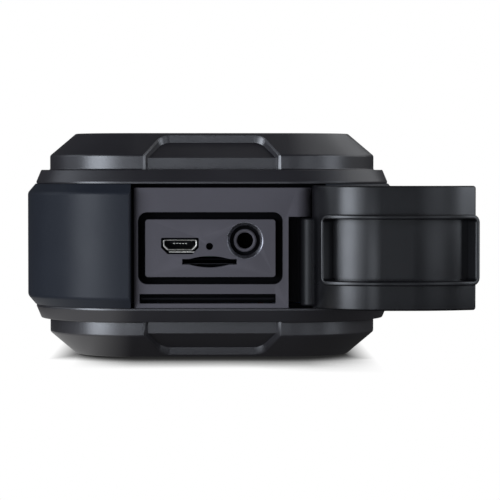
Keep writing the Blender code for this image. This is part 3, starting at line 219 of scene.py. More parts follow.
JACK_TRIM_ROUND = 0.00035
JACK_TRIM_DEPTH = 0.0011
JACK_SHADE_GASKET_DEPTH = 0.0020
JACK_COLLAR_DEPTH = 0.0008
JACK_COLLAR_EDGE = 0.00025
CARD_RAIL_DEPTH = 0.0018
CARD_RAIL_WIDTH = 0.0112
CARD_RAIL_HEIGHT = 0.00012
ANCHOR_EDGE = 0.0004
COVER_TIP = 0.0397
COVER_ROOT = -0.0022
COVER_EDGE = 0.0004
COVER_CORNER = 0.0006
COVER_PITCH = 0.0006
COVER_LINE_STEP = 0.00005
COVER_RIM_ROUND = 0.0003
COVER_RIM_HEIGHT = 0.0033
COVER_RIM_ROOT_GAP = 0.0005
GRILLE_PITCH = 0.0029
GRILLE_HOLE_RADIUS = 0.00095
GRILLE_RINGS = 8
GRILLE_EDGE = 0.0001
KEY_FLANGE_MARGIN = 0.0007
KEY_FLANGE_THICKNESS = 0.0009
KEY_EDGE = 0.0007
KEY_DOME = 0.00025
KEY_DOME_STEPS = 4
KEY_DOME_SHARE = 0.75
SIGN_LONG = 0.0011
SIGN_THIN = 0.0002
SIGN_ROOT = 0.0006
SIGN_HEIGHT = 0.0001
SIGN_EDGE = 0.00006
PLAY_POINT = 0.75
PLAY_BACK = 0.6
POWER_ARC = (math.radians(125), math.radians(415))
POWER_STEM_PLACE = 0.9
POWER_STEM_HALF = 0.6
CASE_HEAD_EDGE = 0.0005
CASE_TIP_SHARE = 0.6
CASE_TIP_TAPER = 0.0008
CROSS_HALF_LENGTH = 0.0011
CROSS_HALF_WIDTH = 0.00025
CROSS_DEPTH = 0.0008
CROSS_CUT_MARGIN = 0.001
SOFT_EDGE = 0.00012

# Patterns of the materials
NOISE_RANGE = (0.3, 0.7)
EDGE_RANGE = (0.52, 0.62)
WEAR_SIZE = 0.003
WEAR_TONE = 1.35
PATCH_SIZE = 0.014
PATCH_TONES = (1 - 0.12, 1 + 0.12)
SHEEN_SPREAD = 0.04
SCRATCH_SIZE = 0.0008
SCRATCH_DEPTH = 0.000004
SCRATCH_SPREAD = (-0.07, 0.10)
STAIN_SIZE = 0.006
STAIN_TONES = (0.85, 1.1)
CLOTH_ROUGHNESS = 0.95
CLOTH_TONES = (0.4, 1.4)
CLOTH_DEPTH = 0.00008
CLOTH_SHEEN = 0.3
CLEAR_ROUGHNESS = (0.12, 0.3)
CLEAR_TRANSMISSION = 0.7
HAZE_SIZE = 0.0006
HAZE_TONES = (0.9, 1.05)

# Camera and light
CAMERA_PLACE = (0.0, -0.5921, 0.04155)
CAMERA_PITCH = math.radians(90 - 1.80)
CAMERA_YAW = math.radians(-0.856)
CAMERA_LENS = 183.2
CAMERA_CLIP = 0.01
WHITE = (1.0, 1.0, 1.0)
FLOOR_RADIUS = 0.085
FLOOR_LIGHT = (0.40, 0.40, 0.40)
# Painted reflection: in gloss the floor is bright at the left, between these places, and dim elsewhere
FLOOR_LEFT_X = (-0.062, -0.050)
FLOOR_RIGHT_X = (-0.028, -0.018)
FLOOR_GLOW = (0.60, 0.60, 0.60)
FLOOR_DIM = (0.04, 0.04, 0.04)
WORLD_LIGHT = (0.06, 0.06, 0.065)
WORLD_GLOSS = (0.05, 0.05, 0.053)
COOL = (0.84, 0.90, 1.0)
NEUTRAL = (0.95, 0.97, 1.0)
# Painted shadow on the floor: its glow is darkened where nearby parts hide the sky, most at the front middle
SHADOW_REACH = 0.024
SHADOW_LEFT_X = (-0.030, -0.017)
SHADOW_RIGHT_X = (0.021, 0.036)
SHADOW_WEIGHT = 2.4
SHADOW_SIDE_X = (0.0300, 0.0360)
SHADOW_DARK = (0.02, 0.02, 0.02)
SHADOW_SAMPLES = 16
CONTACT_REACH = 0.008
# Name, degrees from the camera's side, distance, height, size, power and colour
SOFTBOXES = (
    ("left_strip", -52, 0.75, 0.10, (0.36, 0.48), 2.8, COOL),
    ("left_panel", -44, 0.85, 0.08, (0.64, 0.48), 2.2, COOL),
    ("left_side", -95, 0.80, 0.36, (0.50, 0.70), 1.0, COOL),
    ("right_strip", 60, 0.80, 0.20, (0.26, 0.44), 1.5, COOL),
    ("right_panel", 28, 0.90, 0.14, (0.30, 0.50), 0.60, COOL),
    ("right_side", 105, 0.80, 0.40, (0.80, 0.60), 1.5, NEUTRAL),
    ("front_panel", -8, 1.00, -0.04, (0.28, 0.30), 0.74, COOL),
    ("back_panel", 160, 0.70, 0.50, (0.60, 0.40), 0.5, NEUTRAL),
    ("top_panel", 125, 0.45, 0.75, (0.60, 0.60), 0.65, NEUTRAL),
)

SCENE = bpy.context.scene
UP = Vector((0, 0, 1))
BEVEL_RUN = CAP_HALF - CAP_FACE_HALF
BEVEL_TURN = math.atan2(BEVEL_RUN, CREASE - CAP_BASE)
CAP_FLOOR = CAP_BASE + CAP_WALL
JACK_NECK_RADIUS = JACK_MOUTH_RADIUS - JACK_TRIM_WIDTH
CAP_FLOOR_HALF = CAP_FACE_HALF - CAP_WALL * math.tan((math.pi / 2 - BEVEL_TURN) / 2)


def arc(centre, radius, start, end, steps):
    points = []
    for step in range(steps + 1):
        angle = start + (end - start) * step / steps
        points.append((centre[0] + radius * math.cos(angle), centre[1] + radius * math.sin(angle)))
    return points


def round_rectangle(centre, half_width, half_height, radius, steps=FILLET_STEPS):
    """Outline points of a rectangle with round corners, anticlockwise from the right side."""
    points = []
    for quarter, (side, rise) in enumerate(((1, 1), (-1, 1), (-1, -1), (1, -1))):
        corner = (centre[0] + side * (half_width - radius), centre[1] + rise * (half_height - radius))
        start = quarter * math.pi / 2
        points += arc(corner, radius, start, start + math.pi / 2, steps)
    return points


def fillet(before, corner, after, radius, steps=FILLET_STEPS):
    """Points of an arc that rounds one corner of an outline."""
    before, corner, after = Vector(before), Vector(corner), Vector(after)
    back = (before - corner).normalized()
    ahead = (after - corner).normalized()
    half_angle = back.angle(ahead) / 2
    start = corner + back * radius / math.tan(half_angle)
    end = corner + ahead * radius / math.tan(half_angle)
    centre = corner + (back + ahead).normalized() * radius / math.sin(half_angle)
    points = []
    for step in range(steps + 1):
        spoke = (start - centre).lerp(end - centre, step / steps).normalized()
        points.append(tuple(centre + spoke * radius))
    return points


def rounded(corners, closed=False):
    """An outline through (x, y, rounding radius) corners, with an arc at each corner that has a radius."""
    outline = []
    count = len(corners)
    for index, (x, y, radius) in enumerate(corners):
        inside = closed or 0 < index < count - 1
        if radius and inside:
            before, after = corners[index - 1][:2], corners[(index + 1) % count][:2]
            outline += fillet(before, (x, y), after, radius)
        else:
            outline.append((x, y))
    return outline


def level_ring(outline, height):
    return [Vector((x, y, height)) for x, y in outline]


def standing_ring(outline, y):
    return [Vector((x, y, z)) for x, z in outline]


def square_ring(half, height):
    """A round-cornered square on the body's plan, at one height."""
    return level_ring(round_rectangle((0, 0), half, half, half - SIDE_FLAT, CORNER_STEPS), height)


def unchanged(height):
    return height


def mirrored(height):
    """The height in the upper cap that matches one in the lower cap."""
    return 2 * MIDDLE - height


def loft(rings, closed=False, bm=None):
    """Skins a stack of rings that have equally many points, and caps its ends or joins them."""
    bm = bm or bmesh.new()
    loops = [[bm.verts.new(point) for point in ring] for ring in rings]
    steps = list(zip(loops, loops[1:]))
    if closed:
        steps.append((loops[-1], loops[0]))
    else:
        bm.faces.new(loops[0])
        bm.faces.new(loops[-1])
    for lower, upper in steps:
        for index, corner in enumerate(lower):
            after = (index + 1) % len(lower)
            bm.faces.new((corner, lower[after], upper[after], upper[index]))
    return bm


def prism(outline, near, far, bm=None):
    """A solid with an upright outline, between two distances along Y."""
    return loft([standing_ring(outline, near), standing_ring(outline, far)], bm=bm)


def slab(outline, low, high):
    """A solid with a level outline, between two heights."""
    return loft([level_ring(outline, low), level_ring(outline, high)])


def channel(first, second, near, far):
    """Rings that go along one upright outline, from near to far along Y, and back along another."""
    steps = ((first, near), (first, far), (second, far), (second, near))
    return [standing_ring(*step) for step in steps]


def thin_strip(centre, width, height):
    """The outline of a strip whose ends are nearly half round."""
    return round_rectangle(centre, width / 2, height / 2, height * STRIP_CORNER)


def box(low, high):
    bm = bmesh.new()
    low, high = Vector(low), Vector(high)
    place = Matrix.Translation((low + high) / 2) @ Matrix.Diagonal((*(high - low), 1))
    bmesh.ops.create_cube(bm, size=1, matrix=place)
    return bm


def rod(start, end, radius, sides=ROUND_SIDES, bm=None):
    """A capped cylinder between two points."""
    bm = bm or bmesh.new()
    start, end = Vector(start), Vector(end)
    turn = UP.rotation_difference(end - start).to_matrix().to_4x4()
    bmesh.ops.create_cone(
        bm,
        cap_ends=True,
        segments=sides,
        radius1=radius,
        radius2=radius,
        depth=(end - start).length,
        matrix=Matrix.Translation((start + end) / 2) @ turn,
    )
    return bm


def bore(centre, near, far, radius, sides=ROUND_SIDES):
    """A cylinder along a port's axis, between two distances along Y."""
    x, z = centre
    return rod((x, near, z), (x, far, z), radius, sides)


def turned(profile, closed=True, steps=ROUND_SIDES):
    """A profile of (radius, height) points spun round the upright axis."""
    bm = bmesh.new()
    points = [bm.verts.new((radius, 0, height)) for radius, height in profile]
    lines = [bm.edges.new(pair) for pair in zip(points, points[1:])]
    if closed:
        lines.append(bm.edges.new((points[-1], points[0])))
    bmesh.ops.spin(
        bm, geom=points + lines, cent=(0, 0, 0), axis=UP, angle=2 * math.pi, steps=steps, use_merge=True
    )
    bmesh.ops.remove_doubles(bm, verts=bm.verts[:], dist=WELD)
    return bm


def turned_port(profile, centre, steps=ROUND_SIDES):
    """A profile of (radius, distance behind the panel's front) spun round a port's own axis."""
    bm = turned([(radius, -depth) for radius, depth in profile], steps=steps)
    turn = Matrix.Rotation(math.pi / 2, 4, "X")
    bmesh.ops.transform(bm, verts=bm.verts[:], matrix=turn)
    bmesh.ops.translate(bm, verts=bm.verts[:], vec=(centre[0], -PANEL_FRONT, centre[1]))
    return bm


def corner_places(place):
    return [(x * place, y * place) for x in (-1, 1) for y in (-1, 1)]


def add_object(name, data):
    item = bpy.data.objects.new(name, data)
    SCENE.collection.objects.link(item)
    return item


def settled_mesh(item):
    """A mesh of what an object looks like after its modifiers or settings."""
    return bpy.data.meshes.new_from_object(item.evaluated_get(bpy.context.evaluated_depsgraph_get()))


def add_mesh(name, bm):
    """Closes a mesh under construction into an object."""
    bmesh.ops.recalc_face_normals(bm, faces=bm.faces[:])
    mesh = bpy.data.meshes.new(name)
    bm.to_mesh(mesh)
    bm.free()
    return add_object(name, mesh)


def carve(item, bm, operation="DIFFERENCE"):
    """Cuts a shape out of a piece for good, or joins it on."""
    tool = add_mesh("tool", bm)
    step = item.modifiers.new("carve", "BOOLEAN")
    step.operation = operation
    step.solver = "EXACT"
    step.object = tool
    before = item.data
    item.data = settled_mesh(item)
    item.data.name = item.name
    item.modifiers.clear()
    bpy.data.meshes.remove(before)
    bpy.data.objects.remove(tool)


def soften(item, width, segments=2):
    """Rounds a piece's sharp edges."""
    step = item.modifiers.new("soften", "BEVEL")
    step.width = width
    step.segments = segments
    step.limit_method = "ANGLE"
    step.angle_limit = SMOOTH_ANGLE
    step.harden_normals = False


def dress(item, slot, body="speaker", nodes=(), finish=None):
    """Shades a finished piece, gives it its slot's material or a finish of it, and ties it to its body."""
    item.data.shade_smooth()
    item.data.set_sharp_from_angle(angle=SMOOTH_ANGLE)
    even = item.modifiers.new("even_shading", "WEIGHTED_NORMAL")
    even.keep_sharp = True
    item.data.materials.clear()
    item.data.materials.append(MATERIALS[finish or slot])
    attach(item, body)
    if nodes:
        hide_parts(*nodes)
    return item


def add_piece(name, bm, slot, edge=None, **ties):
    """A piece that needs no cutting, dressed, with its sharp edges rounded if there is a width for that."""
    item = add_mesh(name, bm)
    if edge:
        soften(item, edge)
    return dress(item, slot, **ties)


# Materials


def feed(tree, step, inputs):
    """Sets inputs of a shader node, each to a value or from another node."""
    for name, value in inputs.items():
        if isinstance(value, bpy.types.NodeSocket):
            tree.links.new(value, step.inputs[name])
        else:
            step.inputs[name].default_value = value


def node(tree, kind, output, inputs, **settings):
    """Adds a shader node, and gives one of its outputs."""
    step = tree.nodes.new(kind)
    for name, value in settings.items():
        setattr(step, name, value)
    feed(tree, step, inputs)
    return step.outputs[output]


def new_material(name, colour, levels):
    """A material of one colour, with a level for each shader input that is named, and its node tree."""
    material = bpy.data.materials.new(name)
    material.use_nodes = True
    connect(material, {"Base Color": (*colour, 1), **levels})
    return material, material.node_tree


def connect(material, inputs):
    """Sets inputs of a material's shader."""
    tree = material.node_tree
    feed(tree, tree.nodes["Principled BSDF"], inputs)
    return material


def own_space(tree):
    return node(tree, "ShaderNodeTexCoord", "Object", {})


def noise(tree, size, detail=2.0, density=(1, 1, 1)):
    """Noise in the object's own space, with features about one size across, or closer along an axis."""
    scale = [axis / size for axis in density]
    place = node(tree, "ShaderNodeMapping", "Vector", {"Vector": own_space(tree), "Scale": scale})
    return node(tree, "ShaderNodeTexNoise", "Fac", {"Vector": place, "Scale": 1.0, "Detail": detail})


def spread(tree, value, low, high, to_low, to_high):
    """A value's range stretched to another range."""
    ends = {"From Min": low, "From Max": high, "To Min": to_low, "To Max": to_high}
    return node(tree, "ShaderNodeMapRange", "Result", {"Value": value, **ends})


def calculate(tree, operation, first, second):
    """The result of one operation on two values."""
    return node(tree, "ShaderNodeMath", "Value", {0: first, 1: second}, operation=operation)


def shade(colour, factor):
    return tuple(min(1.0, channel * factor) for channel in colour)


def blend_colours(tree, factor, *colours):
    """A colour between two others, each of them fixed or from another node."""
    first, second = [(*colour, 1) if isinstance(colour, tuple) else colour for colour in colours]
    # The colour sockets come after those for numbers and vectors
    inputs = {"Factor": factor, 6: first, 7: second}
    return node(tree, "ShaderNodeMix", 2, inputs, data_type="RGBA")


def mottle(tree, factor, colour, tones):
    """A colour that varies between two tones of itself."""
    low, high = tones
    return blend_colours(tree, factor, shade(colour, low), shade(colour, high))


def raise_relief(tree, height, depth):
    """Relief from a height pattern."""
    return node(tree, "ShaderNodeBump", "Normal", {"Strength": 1.0, "Distance": depth, "Height": height})


def worn_edges(tree):
    """High along convex edges, broken up by noise."""
    pointed = node(tree, "ShaderNodeNewGeometry", "Pointiness", {})
    edge = spread(tree, pointed, *EDGE_RANGE, 0.0, 1.0)
    return calculate(tree, "MULTIPLY", edge, noise(tree, WEAR_SIZE, detail=4.0))


def moulded(name, colour, roughness, grain, relief, gloss=0.3):
    """Moulded plastic or rubber: fine grain in relief, patches of tone and sheen, paler worn edges."""
    material, tree = new_material(name, colour, {"Roughness": roughness, "Specular IOR Level": gloss})
    patches = noise(tree, PATCH_SIZE, detail=3.0)
    mottled = mottle(tree, patches, colour, PATCH_TONES)
    worn = blend_colours(tree, worn_edges(tree), mottled, shade(colour, WEAR_TONE))
    sheen = spread(tree, patches, *NOISE_RANGE, roughness - SHEEN_SPREAD, roughness + SHEEN_SPREAD)
    bumps = raise_relief(tree, noise(tree, grain), relief)
    return connect(material, {"Base Color": worn, "Roughness": sheen, "Normal": bumps})


def metal(name, colour, roughness, density):
    """Plated or painted metal with stains and fine scratches."""
    material, tree = new_material(name, colour, {"Roughness": roughness, "Metallic": 1.0})
    stained = mottle(tree, noise(tree, STAIN_SIZE, detail=3.0), colour, STAIN_TONES)
    scratches = noise(tree, SCRATCH_SIZE, detail=5.0, density=density)
    smoother, rougher = SCRATCH_SPREAD
    sheen = spread(tree, scratches, *NOISE_RANGE, roughness + smoother, roughness + rougher)
    bumps = raise_relief(tree, scratches, SCRATCH_DEPTH)
    return connect(material, {"Base Color": stained, "Roughness": sheen, "Normal": bumps})


def woven(name, colour, size):
    """Cloth of two crossing sets of threads, each a wave pattern of one size."""
    material, tree = new_material(name, colour, {"Roughness": CLOTH_ROUGHNESS, "Sheen Weight": CLOTH_SHEEN})
    inputs = {"Vector": own_space(tree), "Scale": 1 / size}
    threads = []
    for direction in ("X", "Y"):
        threads.append(node(tree, "ShaderNodeTexWave", "Fac", inputs, bands_direction=direction))
    weave = calculate(tree, "MAXIMUM", *threads)
    tones = mottle(tree, weave, colour, CLOTH_TONES)
    return connect(material, {"Base Color": tones, "Normal": raise_relief(tree, weave, CLOTH_DEPTH)})


def clear_plastic(name, colour):
    """Clear plastic with a faint haze."""
    clearest, haziest = CLEAR_ROUGHNESS
    levels = {"Roughness": haziest, "Transmission Weight": CLEAR_TRANSMISSION}
    material, tree = new_material(name, colour, levels)
    haze = noise(tree, HAZE_SIZE, detail=3.0)
    tones = mottle(tree, haze, colour, HAZE_TONES)
    sheen = spread(tree, haze, *NOISE_RANGE, clearest, haziest)
    return connect(material, {"Base Color": tones, "Roughness": sheen})


# Colour, roughness, size and depth of the grain, and gloss where it isn't the usual one
MOULDED = {
    "cap_plastic": ((0.0150, 0.0140, 0.0170), 0.36, 0.00035, 0.000012, 1.0),
    "band_plastic": ((0.0165, 0.0195, 0.0265), 0.43, 0.00035, 0.000012, 0.20),
    "inner_plastic": ((0.004, 0.004, 0.005), 0.60, 0.0005, 0.00002, 0.08),
    "panel_plastic": ((0.088, 0.083, 0.095), 0.58, 0.0003, 0.00003, 0.25),
    "rubber": ((0.0036, 0.0037, 0.0046), 0.31, 0.0003, 0.000005, 0.56),
    "matt_rubber": ((0.0060, 0.0060, 0.0070), 0.42, 0.0003, 0.000005, 0.20),
    "dull_rubber": ((0.0050, 0.0050, 0.0060), 0.75, 0.0004, 0.000010, 0.05),
    "paper": ((0.030, 0.030, 0.032), 0.85, 0.0010, 0.00006),
    "board": ((0.015, 0.060, 0.035), 0.45, 0.0012, 0.00001),
    "battery_wrap": ((0.10, 0.16, 0.30), 0.35, 0.0030, 0.00003),
    "foam": ((0.020, 0.020, 0.022), 0.95, 0.0005, 0.00012),
    "wire": ((0.35, 0.03, 0.03), 0.45, 0.0008, 0.00001),
}
# Colour, roughness and how closely scratches lie along each axis
METALS = {
    "polished_trim": ((0.22, 0.22, 0.24), 0.28, (1, 1, 1)),
    "steel": ((0.70, 0.68, 0.62), 0.30, (1, 6, 1)),
    "dark_steel": ((0.06, 0.06, 0.065), 0.42, (6, 1, 1)),
    "magnet": ((0.05, 0.05, 0.055), 0.50, (1, 1, 4)),
    "copper": ((0.72, 0.34, 0.18), 0.35, (1, 1, 12)),
}
MATERIALS = {name: moulded(name, *recipe) for name, recipe in MOULDED.items()}
MATERIALS.update({name: metal(name, *recipe) for name, recipe in METALS.items()})
MATERIALS["cloth"] = woven("cloth", (0.012, 0.012, 0.013), 0.003)
MATERIALS["clear_plastic"] = clear_plastic("clear_plastic", (0.75, 0.80, 0.85))
PACKED_FINISHES = {"upper_seal": "dull_rubber", "lower_seal": "dull_rubber"}


def dress_packed_nodes():
    """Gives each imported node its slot's material, or the finish of it that is set for that node."""
    for part in frame["record"]["subparts"]:
        materials = frame["nodes"][part["node"]].data.materials
        materials.clear()
        materials.append(MATERIALS[PACKED_FINISHES.get(part["node"], part["material_slot"])])


# Shells


def cap_profile():
    """(half width, height) round the lower cap's wall, from its face outside to its floor inside."""
    inner_half = CAP_HALF - CAP_WALL
    corners = [
        (CAP_FACE_HALF - 3 * FACE_EDGE_ROUND, CAP_BASE, 0),
        (CAP_FACE_HALF, CAP_BASE, FACE_EDGE_ROUND),
        (CAP_HALF, CREASE, CREASE_ROUND),
        (CAP_HALF, RIM_FOOT, RIM_ROUND),
        (RIM_EDGE_HALF, RIM_FOOT, RIM_ROUND),
        (RIM_HALF, RIM_END - RIM_CHAMFER_HEIGHT, RIM_ROUND / 2),
        (RIM_HALF - RIM_CHAMFER_DEPTH, RIM_END, RIM_ROUND / 3),
        (inner_half, RIM_END, 0),
        (inner_half, CREASE + CAP_WALL * math.tan(BEVEL_TURN / 2), 0),
        (CAP_FLOOR_HALF, CAP_FLOOR, 0),
    ]
    return rounded(corners)


def pocket_rows(depth, inset):
    """(half width, distance from the body's middle, height) down a pocket's side, below the cap's skin."""
    mitre = depth * math.tan(BEVEL_TURN / 2)
    wall, crease = CAP_HALF - depth, CREASE + mitre
    top = POCKET_RUN - POCKET_SLOPE * depth / POCKET_DEPTH - mitre
    side = (POCKET_HALF - inset, 0)
    corner = (POCKET_TOP_HALF - inset / 2, top)
    rows = [(POCKET_HALF - inset, wall, RIM_FOOT - POCKET_FOOT)]
    for half, climb in [side] + fillet(side, corner, (0, top), POCKET_CORNER):
        rows.append((half, wall - climb * math.sin(BEVEL_TURN), crease - climb * math.cos(BEVEL_TURN)))
    return rows


def pockets(height_of):
    """The four pockets of a cap, as one cutting shape. Their sides slope gently at first, then steeply."""
    floors = pocket_rows(POCKET_DEPTH, POCKET_SLOPE)
    shoulders = pocket_rows(POCKET_SHOULDER_DEPTH, POCKET_SHOULDER_WIDTH)
    skins = pocket_rows(-POCKET_SHOULDER_DEPTH, -POCKET_SHOULDER_WIDTH)
    bm = bmesh.new()
    for quarter in range(4):
        turn = Matrix.Rotation(quarter * math.pi / 2, 3, "Z")
        rings = []
        for steps in zip(floors, shoulders, skins):
            left = [turn @ Vector((-half, -out, height_of(height))) for half, out, height in steps]
            right = [turn @ Vector((half, -out, height_of(height))) for half, out, height in steps]
            rings.append(right + left[::-1])
        loft(rings, bm=bm)
    return bm


def foot_ring(margin, height):
    half = FOOT_HALF + margin
    return level_ring(round_rectangle((0, 0), half, half, half / 2, FOOT_STEPS), height)


def make_cap(name, height_of, cut):
    """A cap with posts for the case screws, cuts of its own and a pocket in each side."""
    rings = [square_ring(half, height_of(height)) for half, height in cap_profile()]
    cap = add_mesh(f"{name}_shell", loft(rings))
    posts = bmesh.new()
    low, high = sorted((height_of(CAP_BASE + CAP_WALL / 2), height_of(MIDDLE - CLEARANCE / 2)))
    for x, y in corner_places(CASE_SCREW_PLACE):
        rod((x, y, low), (x, y, high), CASE_BOSS_RADIUS, bm=posts)
    carve(cap, posts, "UNION")
    cut(cap)
    carve(cap, pockets(height_of))
    soften(cap, SOFT_EDGE)
    dress(cap, "cap_plastic", nodes=[name])


def cut_lower_cap(cap):
    """The holes for the case screws' heads, and the seat of the foot pad."""
    holes = bmesh.new()
    shoulder = CAP_BASE + CASE_HEAD_SINK + CASE_HEAD_HEIGHT + CLEARANCE
    for x, y in corner_places(CASE_SCREW_PLACE):
        rod((x, y, CAP_BASE - CAP_WALL), (x, y, shoulder), CASE_HEAD_RADIUS + CLEARANCE, bm=holes)
    carve(cap, holes)
    seat_top = FOOT_THICKNESS + CLEARANCE
    carve(cap, loft([foot_ring(CLEARANCE, -FOOT_THICKNESS), foot_ring(CLEARANCE, seat_top)]))


def cut_upper_cap(cap):
    """The throat over the driver, with a seat for the grille and its cloth."""
    roof, top = mirrored(CAP_FLOOR), mirrored(CAP_BASE)
    seat = top - GRILLE_SINK - GRILLE_THICKNESS - CLOTH_THICKNESS - 2 * CLEARANCE
    lip = GRILLE_RADIUS + CLEARANCE
    throat = [(0, top + CAP_WALL), (lip, top + CAP_WALL), (lip, seat), (THROAT_RADIUS, seat)]
    throat += [(THROAT_RADIUS, roof - CAP_WALL), (0, roof - CAP_WALL)]
    carve(cap, turned(throat, closed=False, steps=GRILLE_SIDES))


def key_outline(x, margin):
    half_width, half_height = KEY_WIDTH / 2 + margin, KEY_HEIGHT / 2 + margin
    return round_rectangle((x, MIDDLE), half_width, half_height, KEY_CORNER + margin)


def make_side_band():
    shoulder = BAND_HALF - BAND_CHAMFER_DEPTH
    inner = BAND_HALF - BAND_WALL
    low_edge, high_edge = BAND_FOOT + BAND_CHAMFER_HEIGHT, BAND_TOP - BAND_CHAMFER_HEIGHT
    corners = [
        (shoulder, BAND_FOOT, SOFT_EDGE),
        (BAND_HALF, low_edge, BAND_EDGE_ROUND),
        (BAND_HALF, high_edge, BAND_EDGE_ROUND),
        (shoulder, BAND_TOP, SOFT_EDGE),
        (inner, BAND_TOP, 0),
        (inner, BAND_FOOT, 0),
    ]
    rings = [square_ring(*step) for step in rounded(corners, closed=True)]
    band = add_mesh("side_band_shell", loft(rings, closed=True))
    carve(band, bay_cutter())
    holes = bmesh.new()
    near, far = BAND_HALF - 2 * BAND_WALL, BAND_HALF + BAND_WALL
    for x in KEY_PLACES:
        prism(key_outline(x, CLEARANCE), near, far, holes)
    rod((0, near, LIGHT_Z), (0, far, LIGHT_Z), LIGHT_RADIUS + CLEARANCE, bm=holes)
    carve(band, holes)
    soften(band, SOFT_EDGE)
    dress(band, "band_plastic", nodes=["side_band"])


def bay_cutter():
    """The opening in the band for the port bay, whose mouth rounds out into the band's face."""
    left, right = BAY_LEFT - BAND_END_GAP, BAY_RIGHT + BAND_END_GAP
    mouth, far, deep = -BAND_HALF, -BAND_HALF - BAND_WALL, -SIDE_FLAT
    reach = BAND_END_ROUND
    outline = arc((left - reach, mouth + reach), reach, 0, -math.pi / 2, FILLET_STEPS)
    outline += [(left - reach, far), (right + reach, far)]
    outline += arc((right + reach, mouth + reach), reach, -math.pi / 2, -math.pi, FILLET_STEPS)
    outline += [(right, deep), (left, deep)]
    return slab(outline, BAND_FOOT - BAND_CUT_MARGIN, BAND_TOP + BAND_CUT_MARGIN)


def make_foot_pad():
    """A rubber pad with a rounded edge and shallow square grooves."""
    rings = [foot_ring(0, FOOT_THICKNESS)]
    for x, y in arc((-FOOT_EDGE, FOOT_EDGE), FOOT_EDGE, 0, -math.pi / 2, FILLET_STEPS):
        rings.append(foot_ring(x, y))
    margin = -FOOT_GROOVE_PITCH
    while margin > -FOOT_GROOVE_SPAN:
        for share, depth in ((0, 0), (1 / 4, 1 / 2), (3 / 4, 1 / 2), (1, 0)):
            rings.append(foot_ring(margin - share * FOOT_GROOVE, depth * FOOT_GROOVE))
        margin -= FOOT_GROOVE_PITCH
    add_piece("foot_pad_rubber", loft(rings), "rubber", nodes=["foot_pad"])


# Ports


def usb_outline(margin, rounding, drop=0, corner=USB_CORNER):
    """The USB shell's outline, wide side up, grown all round by a margin and further down by a drop."""
    x, z = USB_CENTRE
    half = USB_WIDTH / 2 + margin
    top, bottom = z + USB_HEIGHT / 2 + margin, z - USB_HEIGHT / 2 - margin - drop
    corners = [
        (x + half, top, rounding),
        (x - half, top, rounding),
        (x - half, bottom + corner, rounding),
        (x - half + corner, bottom, rounding),
        (x + half - corner, bottom, rounding),
        (x + half, bottom + corner, rounding),
    ]
    return rounded(corners, closed=True)


def usb_hole():
    return usb_outline(USB_HOLE_MARGIN, USB_HOLE_ROUND, USB_HOLE_DROP, USB_HOLE_CORNER)


def card_outline():
    """The card slot, with shallow arcs above and below it that let a fingertip reach the card."""
    half, rise = CARD_SLOT_WIDTH / 2, CARD_SCOOP_HEIGHT / 2
    radius = (half * half + rise * rise) / (2 * rise)
    sweep = math.asin(half / radius)
    upright = math.pi / 2
    x, z = CARD_CENTRE
    ceiling, floor = z + CARD_SLOT_HEIGHT / 2, z - CARD_SLOT_HEIGHT / 2
    top = arc((x, z + rise - radius), radius, upright - sweep, upright + sweep, ARC_STEPS)
    bottom = arc((x, z - rise + radius), radius, -upright - sweep, -upright + sweep, ARC_STEPS)
    outline = [(across, max(height, ceiling)) for across, height in top]
    outline += [(across, min(height, floor)) for across, height in bottom]
    return outline


def through_panel(outline):
    """A cutting shape right through the panel."""
    return prism(outline, -PANEL_FRONT - PANEL_CUT_MARGIN, -PANEL_BACK + PANEL_CUT_MARGIN)


def groove_outlines(inset):
    """The outer and the inner side of the sealing groove, moved into the groove by an inset."""
    outlines = []
    for growth, corner in ((-inset, GROOVE_CORNER - inset), (inset - GROOVE_WIDTH, ISLAND_CORNER + inset)):
        halves = (GROOVE_HALF_WIDTH + growth, GROOVE_HALF_HEIGHT + growth)
        outlines.append(round_rectangle(GROOVE_CENTRE, *halves, corner, GROOVE_STEPS))
    return outlines


def make_groove_liner():
    """A thin channel of black rubber that lines the sealing groove."""
    lip, floor = -PANEL_FRONT + LINER_SETBACK, -PANEL_FRONT + GROOVE_DEPTH
    skin = LINER_GAP + LINER_THICKNESS
    rings = channel(*groove_outlines(LINER_GAP), lip, floor - LINER_GAP)
    rings += channel(*groove_outlines(skin)[::-1], lip, floor - skin)
    add_piece("groove_liner", loft(rings, closed=True), "rubber", nodes=["port_seal"], finish="dull_rubber")


def make_port_panel():
    left, right = BAY_LEFT + CLEARANCE, PANEL_RIGHT
    front, back = -PANEL_FRONT, -PANEL_BACK
    before, behind = front - PANEL_CUT_MARGIN, back + PANEL_CUT_MARGIN
    plan = [(left, back)]
    plan += fillet((left, back), (left, front), (right, front), PANEL_LEFT_ROUND, PANEL_LEFT_STEPS)
    plan += fillet((left, front), (right, front), (right, back), PANEL_RIGHT_ROUND, PANEL_RIGHT_STEPS)
    plan += [(right, back)]
    panel = add_mesh("port_panel_face", slab(plan, BAND_FOOT, PANEL_TOP))
    notch_low = (HINGE_RECESS_LEFT, before, BAND_FOOT - BAND_CUT_MARGIN)
    carve(panel, box(notch_low, (BAY_RIGHT, behind, HINGE_RECESS_TOP)))
    groove = channel(*groove_outlines(0), before, front + GROOVE_DEPTH)
    carve(panel, loft(groove, closed=True))
    carve(panel, through_panel(usb_hole()))
    carve(panel, bore(JACK_CENTRE, before, front + JACK_TRIM_DEPTH, JACK_MOUTH_RADIUS))
    carve(panel, bore(JACK_CENTRE, front, behind, JACK_NECK_RADIUS))
    carve(panel, bore(MIC_CENTRE, before, behind, MIC_HOLE_RADIUS, SMALL_SIDES))
    carve(panel, through_panel(card_outline()))
    carve(panel, through_panel(round_rectangle(VENT_CENTRE, VENT_HALF_WIDTH, VENT_HEIGHT / 2, VENT_ROUND)))
    soften(panel, SOFT_EDGE)
    dress(panel, "panel_plastic", nodes=["port_panel"])


